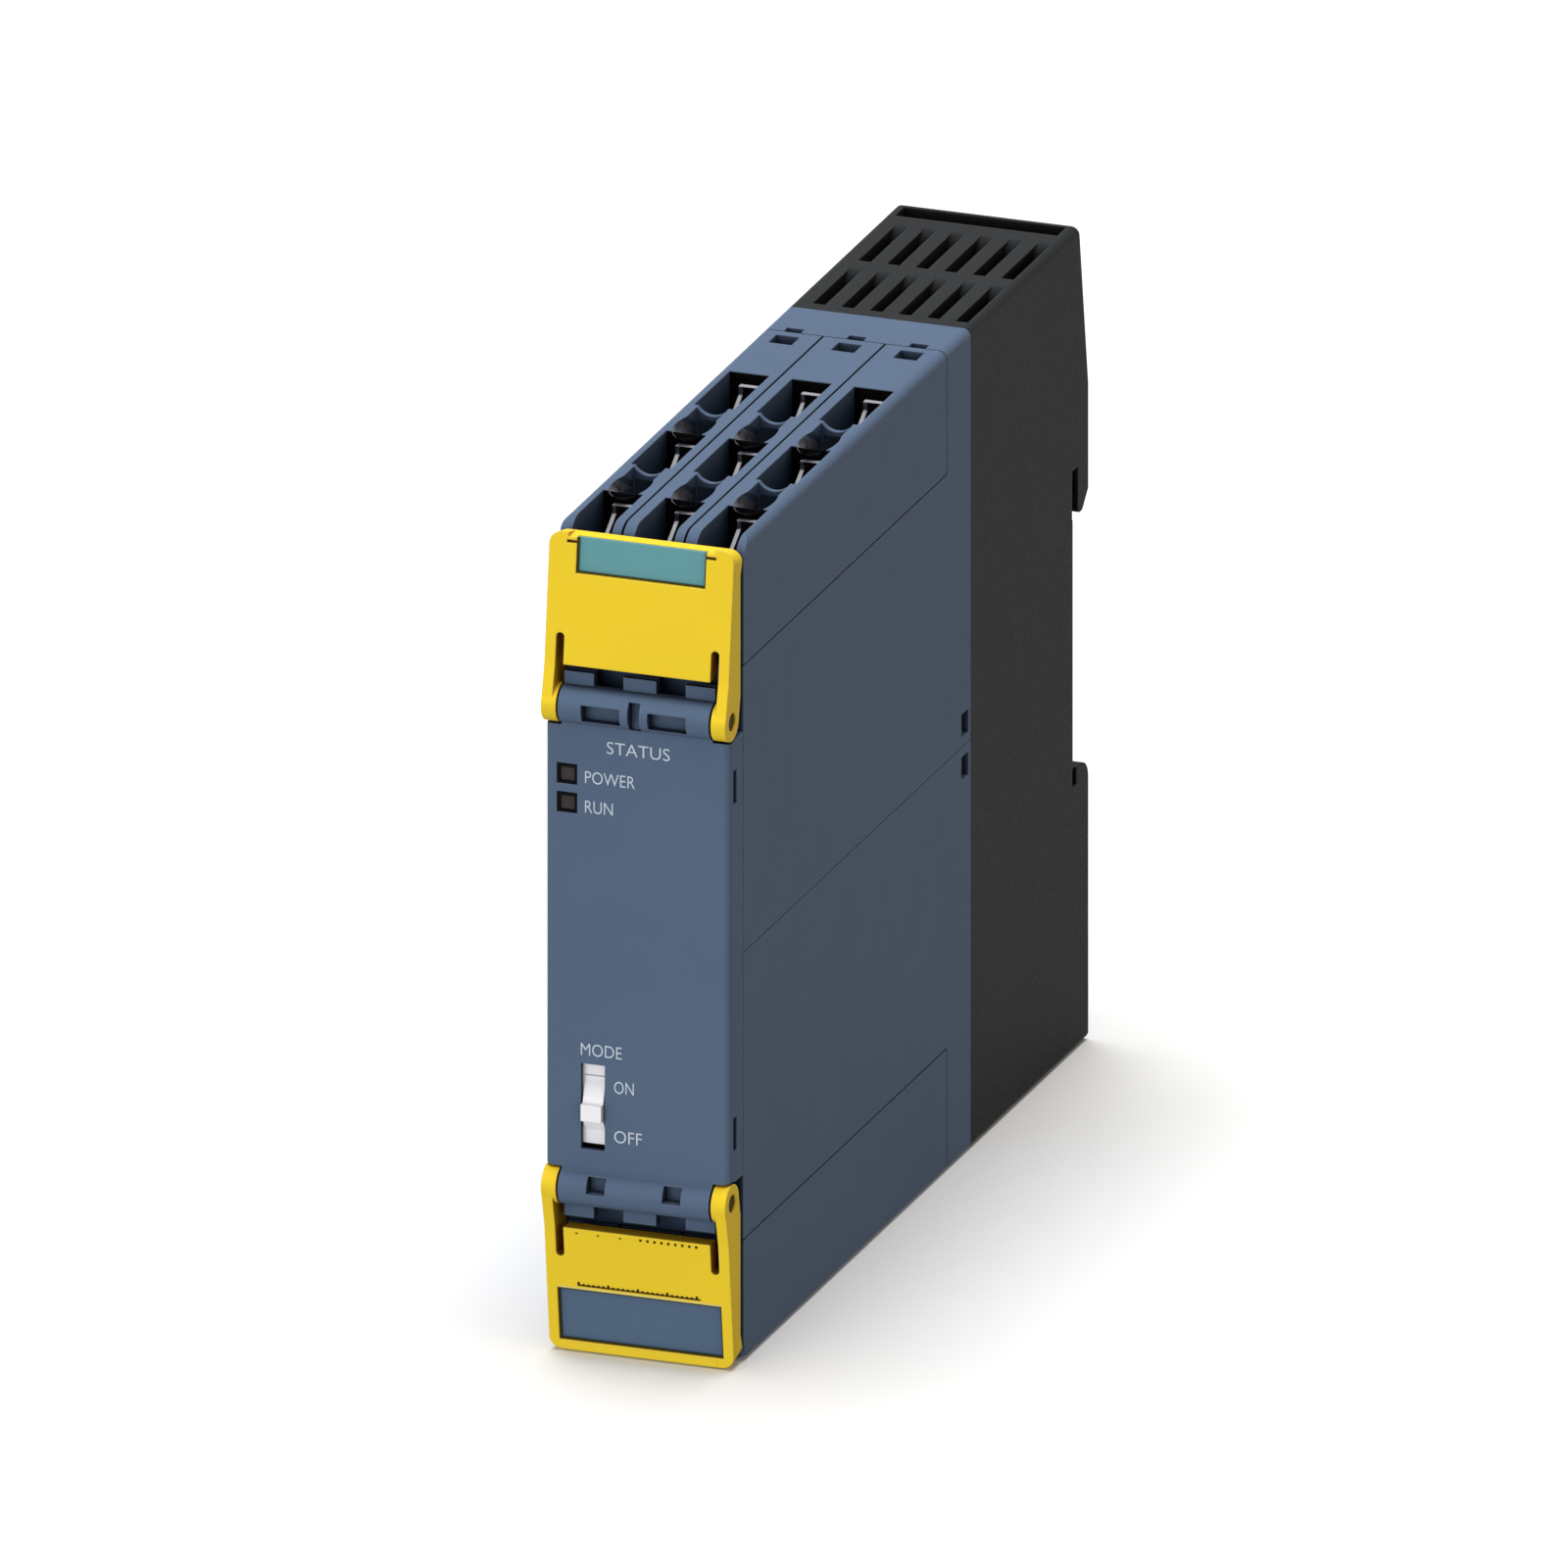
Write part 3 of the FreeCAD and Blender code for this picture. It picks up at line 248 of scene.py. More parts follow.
def drift_tone(tree, noise, low, high, low_tone, high_tone):
    """A colour that goes from one tone to another as the noise goes from low to high."""
    ramp = add_node(tree, "ShaderNodeValToRGB")
    for element, place, tone in zip(ramp.color_ramp.elements, (low, high), (low_tone, high_tone)):
        element.position = place
        element.color = colour(*tone)
    wire(tree, noise, ramp.inputs["Fac"])
    return ramp.outputs["Color"]


def drift_roughness(tree, shader, noise, shine, spread):
    """Roughness that follows a noise, up to spread on either side of shine."""
    rough = add_node(tree, "ShaderNodeMapRange")
    put(rough, From_Min=noise_low, From_Max=noise_high, To_Min=shine - spread, To_Max=shine + spread)
    wire(tree, noise, rough.inputs["Value"])
    wire(tree, rough.outputs["Result"], shader.inputs["Roughness"])


def raise_bump(tree, shader, noise, depth, normal=None):
    """A bump that follows a noise, depth in mm, on top of a bent normal where one is given."""
    bump = add_node(tree, "ShaderNodeBump")
    put(bump, Strength=1.0, Distance=depth * MM)
    wire(tree, noise, bump.inputs["Height"])
    if normal:
        wire(tree, normal, bump.inputs["Normal"])
    wire(tree, bump.outputs["Normal"], shader.inputs["Normal"])


def soften_edges(tree, radius):
    """The group of softened edges, with its radius in mm."""
    return put(add_node(tree, "ShaderNodeGroup", node_tree=edges_group), Radius=radius * MM)


print("shared steps ready, for noise from", noise_low, "to", noise_high)

# %% [markdown]
# ## Shade in wells and gaps
#
# The wells, gaps and slots of a module are deeper and darker than soft lamps alone show them. The
# Ambient Occlusion node measures how open each spot is, and the dye is multiplied by that. In a
# strongly dyed plastic the light that does get out has bounced off the walls and taken up their
# colour, so the multiplier doesn't run down to black but to a deep tint of the dye.

# %% Shading a dye by how open a spot is
shade_reach = 10 * MM
shade_power = 0.75


def shade_dye(tree, dye, deep):
    """A dye, multiplied by white where a spot is open and by the deep tint where it is closed in."""
    openness = put(add_node(tree, "ShaderNodeAmbientOcclusion", samples=12), Distance=shade_reach)
    open_share = add_node(tree, "ShaderNodeMath", operation="POWER")
    open_share.inputs[1].default_value = shade_power
    wire(tree, openness.outputs["AO"], open_share.inputs[0])
    shade = put(add_node(tree, "ShaderNodeMix", data_type="RGBA"), A=colour(*deep), B=colour(1, 1, 1))
    wire(tree, open_share.outputs["Value"], shade.inputs["Factor"])
    shaded = add_node(tree, "ShaderNodeMix", data_type="RGBA", blend_type="MULTIPLY")
    put(shaded, Factor=1.0)
    wire(tree, dye, shaded.inputs["A"])
    wire(tree, shade.outputs["Result"], shaded.inputs["B"])
    return shaded.outputs["Result"]


print("shade reaches", shade_reach / MM, "mm")

# %% [markdown]
# ## Plastics
#
# All housing parts are glass-filled polyamide or polycarbonate, dyed through. One recipe covers them:
# a base colour that drifts a few percent with the clouds, an edge made slightly lighter as a painted
# highlight, roughness that follows the pits, and a shallow bump. What differs is the dye, the depth of
# the grain and the shine.

# %% The recipe for a moulded plastic
plastic_spread = 0.06               # how far the roughness drifts with the pits


def moulded_plastic(name, dye, shine, grain=0.01, radius=0.08, painted_edge_highlight=0.02, clouds=0.02,
                    gloss=0.03, deep=(0.0, 0.0, 0.0)):
    """Dyed-through plastic. grain and radius are in mm, and the edge value lifts the dye at edges as a
    painted highlight.
    """
    material, tree, shader = new_material(name)
    put(shader, IOR=1.52, Specular_IOR_Level=gloss)
    pits = add_node(tree, "ShaderNodeGroup", node_tree=grain_group)
    edges = soften_edges(tree, radius)

    base = drift_tone(tree, pits.outputs["Clouds"], noise_low, noise_high,
                      [c * (1 - clouds) for c in dye], [c * (1 + clouds) for c in dye])
    # painted highlight: the dye is lifted to a lighter tone along the edges, where a rounded edge would
    # catch the light
    painted_highlight_mix = put(add_node(tree, "ShaderNodeMix", data_type="RGBA"),
               B=colour(*[min(1.0, c + painted_edge_highlight) for c in dye]))
    wire(tree, edges.outputs["Edges"], painted_highlight_mix.inputs["Factor"])
    wire(tree, base, painted_highlight_mix.inputs["A"])
    wire(tree, shade_dye(tree, painted_highlight_mix.outputs["Result"], deep), shader.inputs["Base Color"])

    drift_roughness(tree, shader, pits.outputs["Height"], shine, plastic_spread)
    raise_bump(tree, shader, pits.outputs["Height"], grain, edges.outputs["Normal"])
    return material


print("roughness of plastics drifts by", plastic_spread)

# %% [markdown]
# The dyes follow. Housing parts have a coarse grain and a wide edge, printed and moulded small parts a
# fine one. Only the yellow, the blue and the white plastic let enough light out of a corner to need a
# deep tint of their own.

# %% The plastics
# The edge value in each entry is the strength of its painted edge highlight.
plastics = {
    "black_plastic": dict(dye=(0.022, 0.024, 0.026), shine=0.50, grain=0.02, radius=0.30,
                          clouds=0.05, gloss=0.02),
    # window_black is black plastic, and the same film also paints shade in the screw slots and the wells
    "window_black": dict(dye=(0.005, 0.005, 0.006), shine=0.50, radius=0.10, painted_edge_highlight=0.005,
                         clouds=0.05),
    "blue_plastic": dict(dye=(0.091, 0.131, 0.206), shine=0.50, grain=0.02, radius=0.25,
                         painted_edge_highlight=0.05, clouds=0.03, gloss=0.02, deep=(0.08, 0.10, 0.14)),
    "blue_face": dict(dye=(0.095, 0.139, 0.216), shine=0.50, grain=0.02, radius=0.25,
                      painted_edge_highlight=0.05, clouds=0.03, gloss=0.015),
    "yellow_plastic": dict(dye=(0.84, 0.60, 0.032), shine=0.42, radius=0.30, painted_edge_highlight=0.06,
                           gloss=0.02, deep=(0.26, 0.08, 0.02)),
    "white_plastic": dict(dye=(0.90, 0.89, 0.92), shine=0.40, radius=0.10, clouds=0.01,
                          deep=(0.6, 0.6, 0.6)),
    "dark_plastic": dict(dye=(0.022, 0.022, 0.024), shine=0.45, grain=0.02, radius=0.15,
                         clouds=0.05),
    "teal_label": dict(dye=(0.126, 0.318, 0.345), shine=0.55, painted_edge_highlight=0.03),
    "blue_label": dict(dye=(0.092, 0.144, 0.222), shine=0.55, painted_edge_highlight=0.03),
    "smoked_pipe": dict(dye=(0.056, 0.049, 0.047), shine=0.15, painted_edge_highlight=0.01, clouds=0.10),
    "lamp_body": dict(dye=(0.62, 0.64, 0.50), shine=0.25),
    "relay_case": dict(dye=(0.36, 0.36, 0.34), shine=0.40, radius=0.25, painted_edge_highlight=0.03),
}
finishes = {name: moulded_plastic(name, **look) for name, look in plastics.items()}
print("plastics:", len(finishes))

# %% [markdown]
# ## Metals
#
# The clamp cages are zinc-plated steel, the screws too, the contact blades are tinned brass and the
# rail's spring is blue spring steel. Rolled sheet has fine lines along its length, and plating has
# cloudy patches. Lines come from noise that is stretched along one axis by a Mapping node. Metal has
# no colour of its own besides its reflection, so roughness does most of the work here.

# %% The recipe for plated sheet metal
metal_radius = 0.12                 # of softened edges, in mm
metal_spread = 0.08
cloud_low, cloud_high, cloud_tone = 0.35, 0.65, 0.86
clouds_per_metre = 400.0


def plated_metal(name, tone, shine, lines, depth):
    """Rolled metal: lines gives their fineness along X, Y and Z, per metre, and depth is in mm."""
    material, tree, shader = new_material(name)
    put(shader, Metallic=1.0)
    plating = put(add_node(tree, "ShaderNodeGroup", node_tree=grain_group),
                  Clouds_per_metre=clouds_per_metre)
    wire(tree, drift_tone(tree, plating.outputs["Clouds"], cloud_low, cloud_high,
                          [c * cloud_tone for c in tone], tone), shader.inputs["Base Color"])

    place = add_node(tree, "ShaderNodeTexCoord")
    mapping = put(add_node(tree, "ShaderNodeMapping"), Scale=lines)
    rolling = put(add_node(tree, "ShaderNodeTexNoise"), Scale=1.0, Detail=3.0)
    wire(tree, place.outputs["Object"], mapping.inputs["Vector"])
    wire(tree, mapping.outputs["Vector"], rolling.inputs["Vector"])
    drift_roughness(tree, shader, rolling.outputs["Fac"], shine, metal_spread)
    raise_bump(tree, shader, rolling.outputs["Fac"], depth,
               soften_edges(tree, metal_radius).outputs["Normal"])
    return material


print("roughness of metals drifts by", metal_spread)

# %% [markdown]
# Sheet metal has its lines along the module's width, blades along their height, and the winding shows
# its turns as lines that run round it. Screws and sleeves have no direction.

# %% The metals
metals = {
    "zinc_steel": dict(tone=(0.44, 0.44, 0.48), shine=0.34, lines=(500, 6000, 6000), depth=0.002),
    "screw_steel": dict(tone=(0.70, 0.70, 0.70), shine=0.30, lines=(3000, 3000, 3000), depth=0.004),
    "spring_steel": dict(tone=(0.40, 0.42, 0.46), shine=0.30, lines=(400, 5000, 5000), depth=0.004),
    "core_steel": dict(tone=(0.34, 0.34, 0.35), shine=0.50, lines=(2500, 200, 200), depth=0.030),
    "tinned_brass": dict(tone=(0.74, 0.72, 0.66), shine=0.32, lines=(5000, 5000, 400), depth=0.004),
    "copper_winding": dict(tone=(0.55, 0.22, 0.09), shine=0.30, lines=(300, 300, 5000), depth=0.040),
    "capacitor_sleeve": dict(tone=(0.05, 0.06, 0.10), shine=0.25, lines=(3000, 3000, 3000),
                             depth=0.002),
}
finishes.update({name: plated_metal(name, **look) for name, look in metals.items()})
print("finishes so far:", len(finishes))

# %% [markdown]
# ## Circuit boards
#
# A board is glass-fibre laminate under a green lacquer. Copper tracks under the lacquer show as a
# lighter green, raised by a few hundredths of a millimetre. A brick texture makes a believable net of
# lines and lands without drawing a single real circuit, and it is seen only through gaps.

# %% The boards' material
tracks_per_metre = 150.0
track_rise = 0.03                   # in mm


def lacquered_board(name):
    """Green laminate with a net of tracks on the sides that face left and right."""
    material, tree, shader = new_material(name)
    put(shader, Roughness=0.3)
    place = add_node(tree, "ShaderNodeTexCoord")
    turn = put(add_node(tree, "ShaderNodeMapping"), Rotation=(0, math.radians(90), 0))
    tracks = put(add_node(tree, "ShaderNodeTexBrick"), Scale=tracks_per_metre, Mortar_Size=0.03,
                 Color1=colour(0.010, 0.070, 0.030), Color2=colour(0.012, 0.085, 0.036),
                 Mortar=colour(0.030, 0.160, 0.070))
    wire(tree, place.outputs["Object"], turn.inputs["Vector"])
    wire(tree, turn.outputs["Vector"], tracks.inputs["Vector"])
    wire(tree, tracks.outputs["Color"], shader.inputs["Base Color"])
    raise_bump(tree, shader, tracks.outputs["Fac"], track_rise)
    return material


finishes["circuit_board"] = lacquered_board("circuit_board")
print("finishes in all:", len(finishes))

# %% [markdown]
# ## Giving every frame piece its finish
#
# The record says which material slot each sub-part takes. Following it here keeps the picture and the
# record in step, and a missing finish stops the script instead of leaving a grey part.

# %% Assign the finishes
for part in record["subparts"]:
    for place in nodes[part["node"]].material_slots:
        place.material = finishes[part["material_slot"]]
print("dressed nodes:", len(record["subparts"]))

# %% [markdown]
# ## Printing on the front plate
#
# The plate carries a few small words beside the windows and the switch, pad-printed in pale grey. Pad
# printing leaves a film of ink a few hundredths of a millimetre thick, with strokes of even width. A
# text object gives the letters, drawn a little thinner than its font has them. It is made a mesh first,
# fitted to the height and width that the words have on the plate, and then its points are moved to
# their place, a hair proud of the face.

# %% Helper for printed words
plate_face_y = -59.4 * MM
ink_depth = 0.03 * MM
ink_sink = 0.01 * MM
stroke_offset = -0.004              # thins the strokes, as a share of the letters' size
letter_half_depth = 0.5


def ink_word(name, text, left, baseline, width, cap_height):
    """A word on the front plate: its lower left corner, width and capital height in metres."""
    curve = bpy.data.curves.new(name, "FONT")
    curve.body = text
    curve.size = 1.0
    curve.offset = stroke_offset
    curve.extrude = letter_half_depth
    curve.resolution_u = 4
    stand = bpy.data.objects.new(name, curve)
    scene.collection.objects.link(stand)
    bpy.context.view_layer.update()
    mesh = bpy.data.meshes.new_from_object(stand)
    bpy.data.objects.remove(stand)
    xs = [v.co.x for v in mesh.vertices]
    ys = [v.co.y for v in mesh.vertices]
    across = width / (max(xs) - min(xs))
    upward = cap_height / (max(ys) - min(ys))
    for vertex in mesh.vertices:
        x, y, z = vertex.co
        depth_share = (z + letter_half_depth) / (2 * letter_half_depth)
        vertex.co = (left + (x - min(xs)) * across,
                     plate_face_y + ink_sink - depth_share * (ink_depth + ink_sink),
                     baseline + (y - min(ys)) * upward)
    word = bpy.data.objects.new(name, mesh)
    scene.collection.objects.link(word)
    return word


print("ink stands", round(ink_depth / MM, 3), "mm proud")

# %% [markdown]
# The ink itself is a dull pale grey, with an uneven film. Ink, thin lines and small films share one
# recipe: hardly any grain, and no painted edge highlight. Each word's place is its lower left corner in
# millimetres.

# %% Ink and the words
def film_finish(name, dye, shine, clouds):
    """A printed or very thin layer, also used for painted shade and painted highlights."""
    return moulded_plastic(name, dye, shine, grain=0.004, radius=0.02, painted_edge_highlight=0.0, clouds=clouds)


ink = film_finish("ink", (0.56, 0.63, 0.72), 0.6, 0.04)
capital = 1.5
words = {                           # text, left, baseline and width
    "word_status": ("STATUS", -3.7, 74.0, 7.7),
    "word_power": ("POWER", -6.35, 70.1, 6.1),
    "word_run": ("RUN", -6.35, 66.5, 3.4),
    "word_mode": ("MODE", -6.85, 36.9, 5.0),
    "word_on": ("ON", -2.8, 32.7, 2.4),
    "word_off": ("OFF", -2.8, 26.7, 3.4),
}
for name, (text, left, baseline, width) in words.items():
    word = ink_word(name, text, left * MM, baseline * MM, width * MM, capital * MM)
    word.data.materials.append(ink)
    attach(word, "housing")
print("printed words:", len(words))

# %% [markdown]
# ## Short bars for trim
#
# The rest of the dressing is made of small bars: frames round windows and labels, printed marks and
# thin sheets. One helper adds a bar that follows a front face, because the covers lean back and their
# trim leans with them. Another closes a mesh of bars into a piece that rides a body. Bars are given in
# millimetres, and the mesh is scaled to metres once, at the end.

# %% Helpers for bars
def add_bar(trim, face, x0, x1, z0, z1, proud, sunk):
    """A box that stands proud of a front face and sinks into it. face gives the face's Y at a height."""
    for vertex in bmesh.ops.create_cube(trim, size=1.0)["verts"]:
        x, y, z = vertex.co
        up = z1 if z > 0 else z0
        vertex.co = (x1 if x > 0 else x0, face(up) + (sunk if y > 0 else -proud), up)


def add_frame(trim, face, x0, x1, z0, z1, margins, proud, sunk):
    """Bars inside a rectangle. The margins are their widths at the left, right, bottom and top."""
    left, right, bottom, top = margins
    add_bar(trim, face, x0, x0 + left, z0, z1, proud, sunk)
    add_bar(trim, face, x1 - right, x1, z0, z1, proud, sunk)
    add_bar(trim, face, x0 + left, x1 - right, z0, z0 + bottom, proud, sunk)
    if top > 0:
        add_bar(trim, face, x0 + left, x1 - right, z1 - top, z1, proud, sunk)


def upright_face(y):
    """A front face with the same Y at every height."""
    return lambda z: y


def ride_trim(name, trim, material, body):
    """Turns a bmesh in millimetres into an object in metres that moves with a body."""
    bmesh.ops.scale(trim, vec=(MM, MM, MM), verts=trim.verts)
    mesh = bpy.data.meshes.new(name)
    trim.to_mesh(mesh)
    trim.free()
    mesh.materials.append(material)
    piece = bpy.data.objects.new(name, mesh)
    scene.collection.objects.link(piece)
    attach(piece, body)
    return piece


def box_in_mm(node):
    """The low and the high corner of a frame node, in millimetres."""
    low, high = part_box(node)
    return Vector(low) / MM, Vector(high) / MM


def middle_x(node):
    """X of the middle of a frame node's box, in millimetres."""
    low, high = box_in_mm(node)
    return (low.x + high.x) / 2


print("front plate in mm:", [[round(c, 2) for c in corner] for corner in box_in_mm("front_plate")])

# %% [markdown]
# ## Frames round the indicator windows
#
# Each window is a stepped square hole, and the light pipe ends in the smaller one. A black frame lies
# on the step, which makes the pipe read as a dark lens. The frame is a little wider at the top, where it
# also paints the shadow that the hole's upper edge casts.

# %% Window frames
window_half = 1.24
# the wider top bar also paints the shadow under the hole's upper edge
frame_and_shadow_margins = (0.34, 0.34, 0.28, 0.46)
frame_drop, window_step = 0.04, 0.395       # the frame lies between these depths behind the plate's face
for pipe in ("upper_light_pipe", "lower_light_pipe"):
    low, high = box_in_mm(pipe)
    x, z = (low.x + high.x) / 2, (low.z + high.z) / 2
    frame_bars = bmesh.new()
    add_frame(frame_bars, upright_face(plate_face_y / MM), x - window_half, x + window_half,
              z - window_half, z + window_half, frame_and_shadow_margins, -frame_drop, window_step)
    ride_trim(pipe + "_frame", frame_bars, finishes["window_black"], "housing")
print("window frames at x", round(x, 2))

# %% [markdown]
# ## Painted shade of the slider's step
#
# The slider has a fine step near its upper end, whose shade shows as a grey line across it. A bar in a
# darker grey, almost flush with the slider's face, paints that shade.

# %% Painted step shade on the slider
# a grey film that paints the shade of the step
painted_step_shade = film_finish("painted_step_shade", (0.42, 0.42, 0.44), 0.5, 0.02)
slider_front_y = -58.6
step_half, step_z, step_height = 1.25, 34.22, 0.15
line_proud, line_sunk = 0.01, 0.02
slider_middle = middle_x("switch_slider")
step = bmesh.new()
add_bar(step, upright_face(slider_front_y), slider_middle - step_half, slider_middle + step_half,
        step_z, step_z + step_height, line_proud, line_sunk)
ride_trim("painted_slider_step_shade", step, painted_step_shade, "slider")
print("slider step at z", step_z)

# %% [markdown]
# ## Painted shadow round the label pockets
#
# The covers lean back from the upright, and the lower one is the upper one's mirror image. Both label
# plates lie in a shallow pocket, and a thin dark line of painted shadow runs round them, apart from
# the upper plate's top edge, where the pocket is open.

# %% The leaning faces and the painted pocket shadows
cover_face_y, cover_lean, lean_start = -59.5, 0.118, 85.0
middle_height = 50.0
line_width, line_drop, pocket_depth = 0.16, 0.25, 0.42


def upper_face(z):
    """Y of the upper cover's face at a height."""
    return cover_face_y + cover_lean * (z - lean_start)


def lower_face(z):
    """Y of the lower cover's face at a height."""
    return upper_face(2 * middle_height - z)


# a dark olive film of painted shadow, used round the label pockets and on the pin ends
outline = moulded_plastic("outline", (0.060, 0.058, 0.016), 0.6, radius=0.02, painted_edge_highlight=0.0,
                          clouds=0.03)
for node, face, body, top_line in (("upper_label_plate", upper_face, "upper_flap", 0),
                                   ("lower_label_plate", lower_face, "lower_flap", line_width)):
    low, high = box_in_mm(node)
    lines = bmesh.new()
    add_frame(lines, face, low.x, high.x, low.z, high.z,
              (line_width, line_width, line_width, top_line), -line_drop, pocket_depth)
    ride_trim(node + "_outline", lines, outline, body)
print("outline width", line_width, "mm")

# %% [markdown]
# ## Marks on the lower cover
#
# The lower cover carries a row of dots near its hinge and a scale-like row of ticks above the label.
# They stand for the terminal markings of such a module and spell nothing. Every sixth tick is longer.

# %% Dots and ticks
marking = film_finish("marking", (0.030, 0.020, 0.008), 0.6, 0.03)
print_proud = 0.02
dot_z, dot_size = 15.05, 0.30
dot_start, dot_pitch, dot_count = 0.3, 0.85, 9
flat_dots = (-7.5, -4.9, -2.2)
dots = bmesh.new()
for x in [dot_start + dot_pitch * count for count in range(dot_count)]:
    add_bar(dots, lower_face, x, x + dot_size, dot_z, dot_z + dot_size, print_proud, print_proud)
for x in flat_dots:
    add_bar(dots, lower_face, x, x + dot_size, dot_z, dot_z + dot_size / 2, print_proud, print_proud)
ride_trim("cover_dots", dots, marking, "lower_flap")

label_high = box_in_mm("lower_label_plate")[1]
scale_half, scale_rise, scale_width = 7.5, 0.5, 0.20
tick_pitch, tick_width, tick_count = 0.6, 0.3, 25
short_tick, long_tick, long_every = 0.32, 0.50, 6
scale_z = label_high.z + scale_rise
ticks = bmesh.new()
add_bar(ticks, lower_face, -scale_half, scale_half, scale_z, scale_z + scale_width,
        print_proud, print_proud)
for count in range(tick_count):
    x = tick_pitch * count - scale_half
    tick_top = scale_z + (short_tick if count % long_every else long_tick)
    add_bar(ticks, lower_face, x, x + tick_width, scale_z + scale_width, tick_top,
            print_proud, print_proud)
ride_trim("cover_ticks", ticks, marking, "lower_flap")
print("marks:", dot_count + len(flat_dots), "dots and", tick_count, "ticks")

# %% [markdown]
# ## Bright edge and lower rim
#
# The edge of the label's pocket catches the light as a pale line. At the very bottom, a rim of the
# cover's own plastic runs from one corner post to the other.

# %% Pale line and rim
pale_line = film_finish("pale_line", (0.76, 0.68, 0.30), 0.5, 0.02)
pale_half, pale_low, pale_high = 9.9, 0.12, 0.27
rim_half, rim_height, rim_thickness = 9.2, 0.9, 0.8
highlight = bmesh.new()
add_bar(highlight, lower_face, -pale_half, pale_half, label_high.z + pale_low, label_high.z + pale_high,
        line_proud, line_sunk)
ride_trim("cover_pale_line", highlight, pale_line, "lower_flap")

rim_z = box_in_mm("lower_cover")[0].z
rim = bmesh.new()
add_bar(rim, lower_face, -rim_half, rim_half, rim_z, rim_z + rim_height, line_proud, rim_thickness)
ride_trim("cover_rim", rim, finishes["yellow_plastic"], "lower_flap")
print("rim at z", round(rim_z, 2))

# %% [markdown]
# ## The six terminal blocks
#
# The next pieces come once for each block, three at the top and three at the bottom, so the blocks are
# listed first. In each, the wells, the troughs and the screws lie a little to the right of the middle.

# %% List the blocks
Block = namedtuple("Block", "half count body middle side")
well_offset = 0.15                          # of wells and troughs from a block's middle
blocks = [Block(half, count, "%s_block_%d" % (half, count),
                middle_x("%s_terminal_%d" % (half, count)) + well_offset, side)
          for half, side in (("upper", 1), ("lower", -1)) for count in (1, 2, 3)]
print("blocks:", [block.body for block in blocks])

# %% [markdown]
# ## Bright troughs
#
# The sloping troughs that guide a screwdriver show a grey metallic sheen, unlike the grained faces
# round them. A hollow, shiny surface shows the bright room in bands, paler on one side than on the
# other. A thin bright half-pipe in each trough carries that sheen. It is a straight edge that is spun
# round the trough's axis, and what stands above the block's top face is cut off.

# %% Trough liners
trough_tilt = math.radians(28.5)
trough_axis = Vector((0, math.cos(trough_tilt), -math.sin(trough_tilt)))
trough_up = Vector((0, math.sin(trough_tilt), math.cos(trough_tilt)))
trough_radius = 2.17
trough_start, trough_end = -5.0, 6.5        # along the axis, from where it meets the top face
mouths_y = (-19.8, -40.95)
arc_start, arc_turn, arc_steps = math.radians(165), math.radians(210), 30
top_z, top_margin = 2 * middle_height, 0.05
sheen = plated_metal("sheen", (0.62, 0.62, 0.64), 0.34, (900, 900, 900), 0.0005)


def half_pipe(trim, mouth):
    """The lower half of a trough's wall."""
    rim_point = (Vector((math.cos(arc_start), 0, 0)) + trough_up * math.sin(arc_start)) * trough_radius
    ends = [trim.verts.new(mouth + rim_point + trough_axis * place)
            for place in (trough_start, trough_end)]
    edge = trim.edges.new(ends)
    bmesh.ops.spin(trim, geom=ends + [edge], cent=mouth, axis=-trough_axis, angle=arc_turn,
                   steps=arc_steps)


def liner(block):
    """The bright half-pipes of one block's troughs."""
    trim = bmesh.new()
    for y in mouths_y:
        half_pipe(trim, Vector((block.middle, y, top_z)))
    bmesh.ops.reverse_faces(trim, faces=trim.faces)     # the spin leaves them facing outward
    whole = trim.verts[:] + trim.edges[:] + trim.faces[:]
    bmesh.ops.bisect_plane(trim, geom=whole, plane_co=(0, 0, top_z - top_margin),
                           plane_no=(0, 0, 1), clear_outer=True)
    if block.side < 0:
        bmesh.ops.scale(trim, vec=(1, 1, -1), verts=trim.verts)
        bmesh.ops.translate(trim, vec=(0, 0, 2 * middle_height), verts=trim.verts)
        bmesh.ops.reverse_faces(trim, faces=trim.faces)
    for face in trim.faces:
        face.smooth = True
    return ride_trim("%s_liner_%d" % (block.half, block.count), trim, sheen, block.body)


liners = [liner(block) for block in blocks]
print("liners:", len(liners), "with", len(liners[0].data.polygons), "faces each")

# %% [markdown]
# ## Screw slots
#
# The clamp screws sit in line with the troughs, and their slots are cut across the front face. At this
# size a slot reads as a dark line of shade, so a thin dark bar of painted shade lies on each face. The
# screws of the lower blocks are the mirror image of the upper ones.

# %% Screw slots
screw_fronts_y = (-7.8, -28.95, -50.1)
screw_front_drop = 6.5155                   # from the block's top face
slot_length, slot_width, slot_thickness = 2.5, 0.45, 0.05
for block in blocks:
    slots = bmesh.new()
    for y in screw_fronts_y:
        centre = (block.middle, y, middle_height + block.side * (middle_height - screw_front_drop))
        place = (Matrix.Translation(centre) @ Matrix.Rotation(-block.side * trough_tilt, 4, "X")
                 @ Matrix.Diagonal((slot_length, slot_thickness, slot_width, 1)))
        bmesh.ops.create_cube(slots, size=1.0, matrix=place)
    # the dark bars are painted shade of the slots
    ride_trim("%s_slots_%d" % (block.half, block.count), slots, finishes["window_black"],
              block.body)
print("screw slots:", len(blocks) * len(screw_fronts_y))

# %% [markdown]
# ## Painted shade in the wells and painted highlights on the tabs
#
# Behind its tab each well opens towards the shaded inside of the block, and the tab's front lies in
# shade. Only the tab's upper edge catches the light. A dark sheet of painted shade on the wall and one
# on the tab's front show this, and a thin pale plate is a painted highlight on the edge. They take
# their place from the clamp cages, and those of the lower blocks are the mirror image.

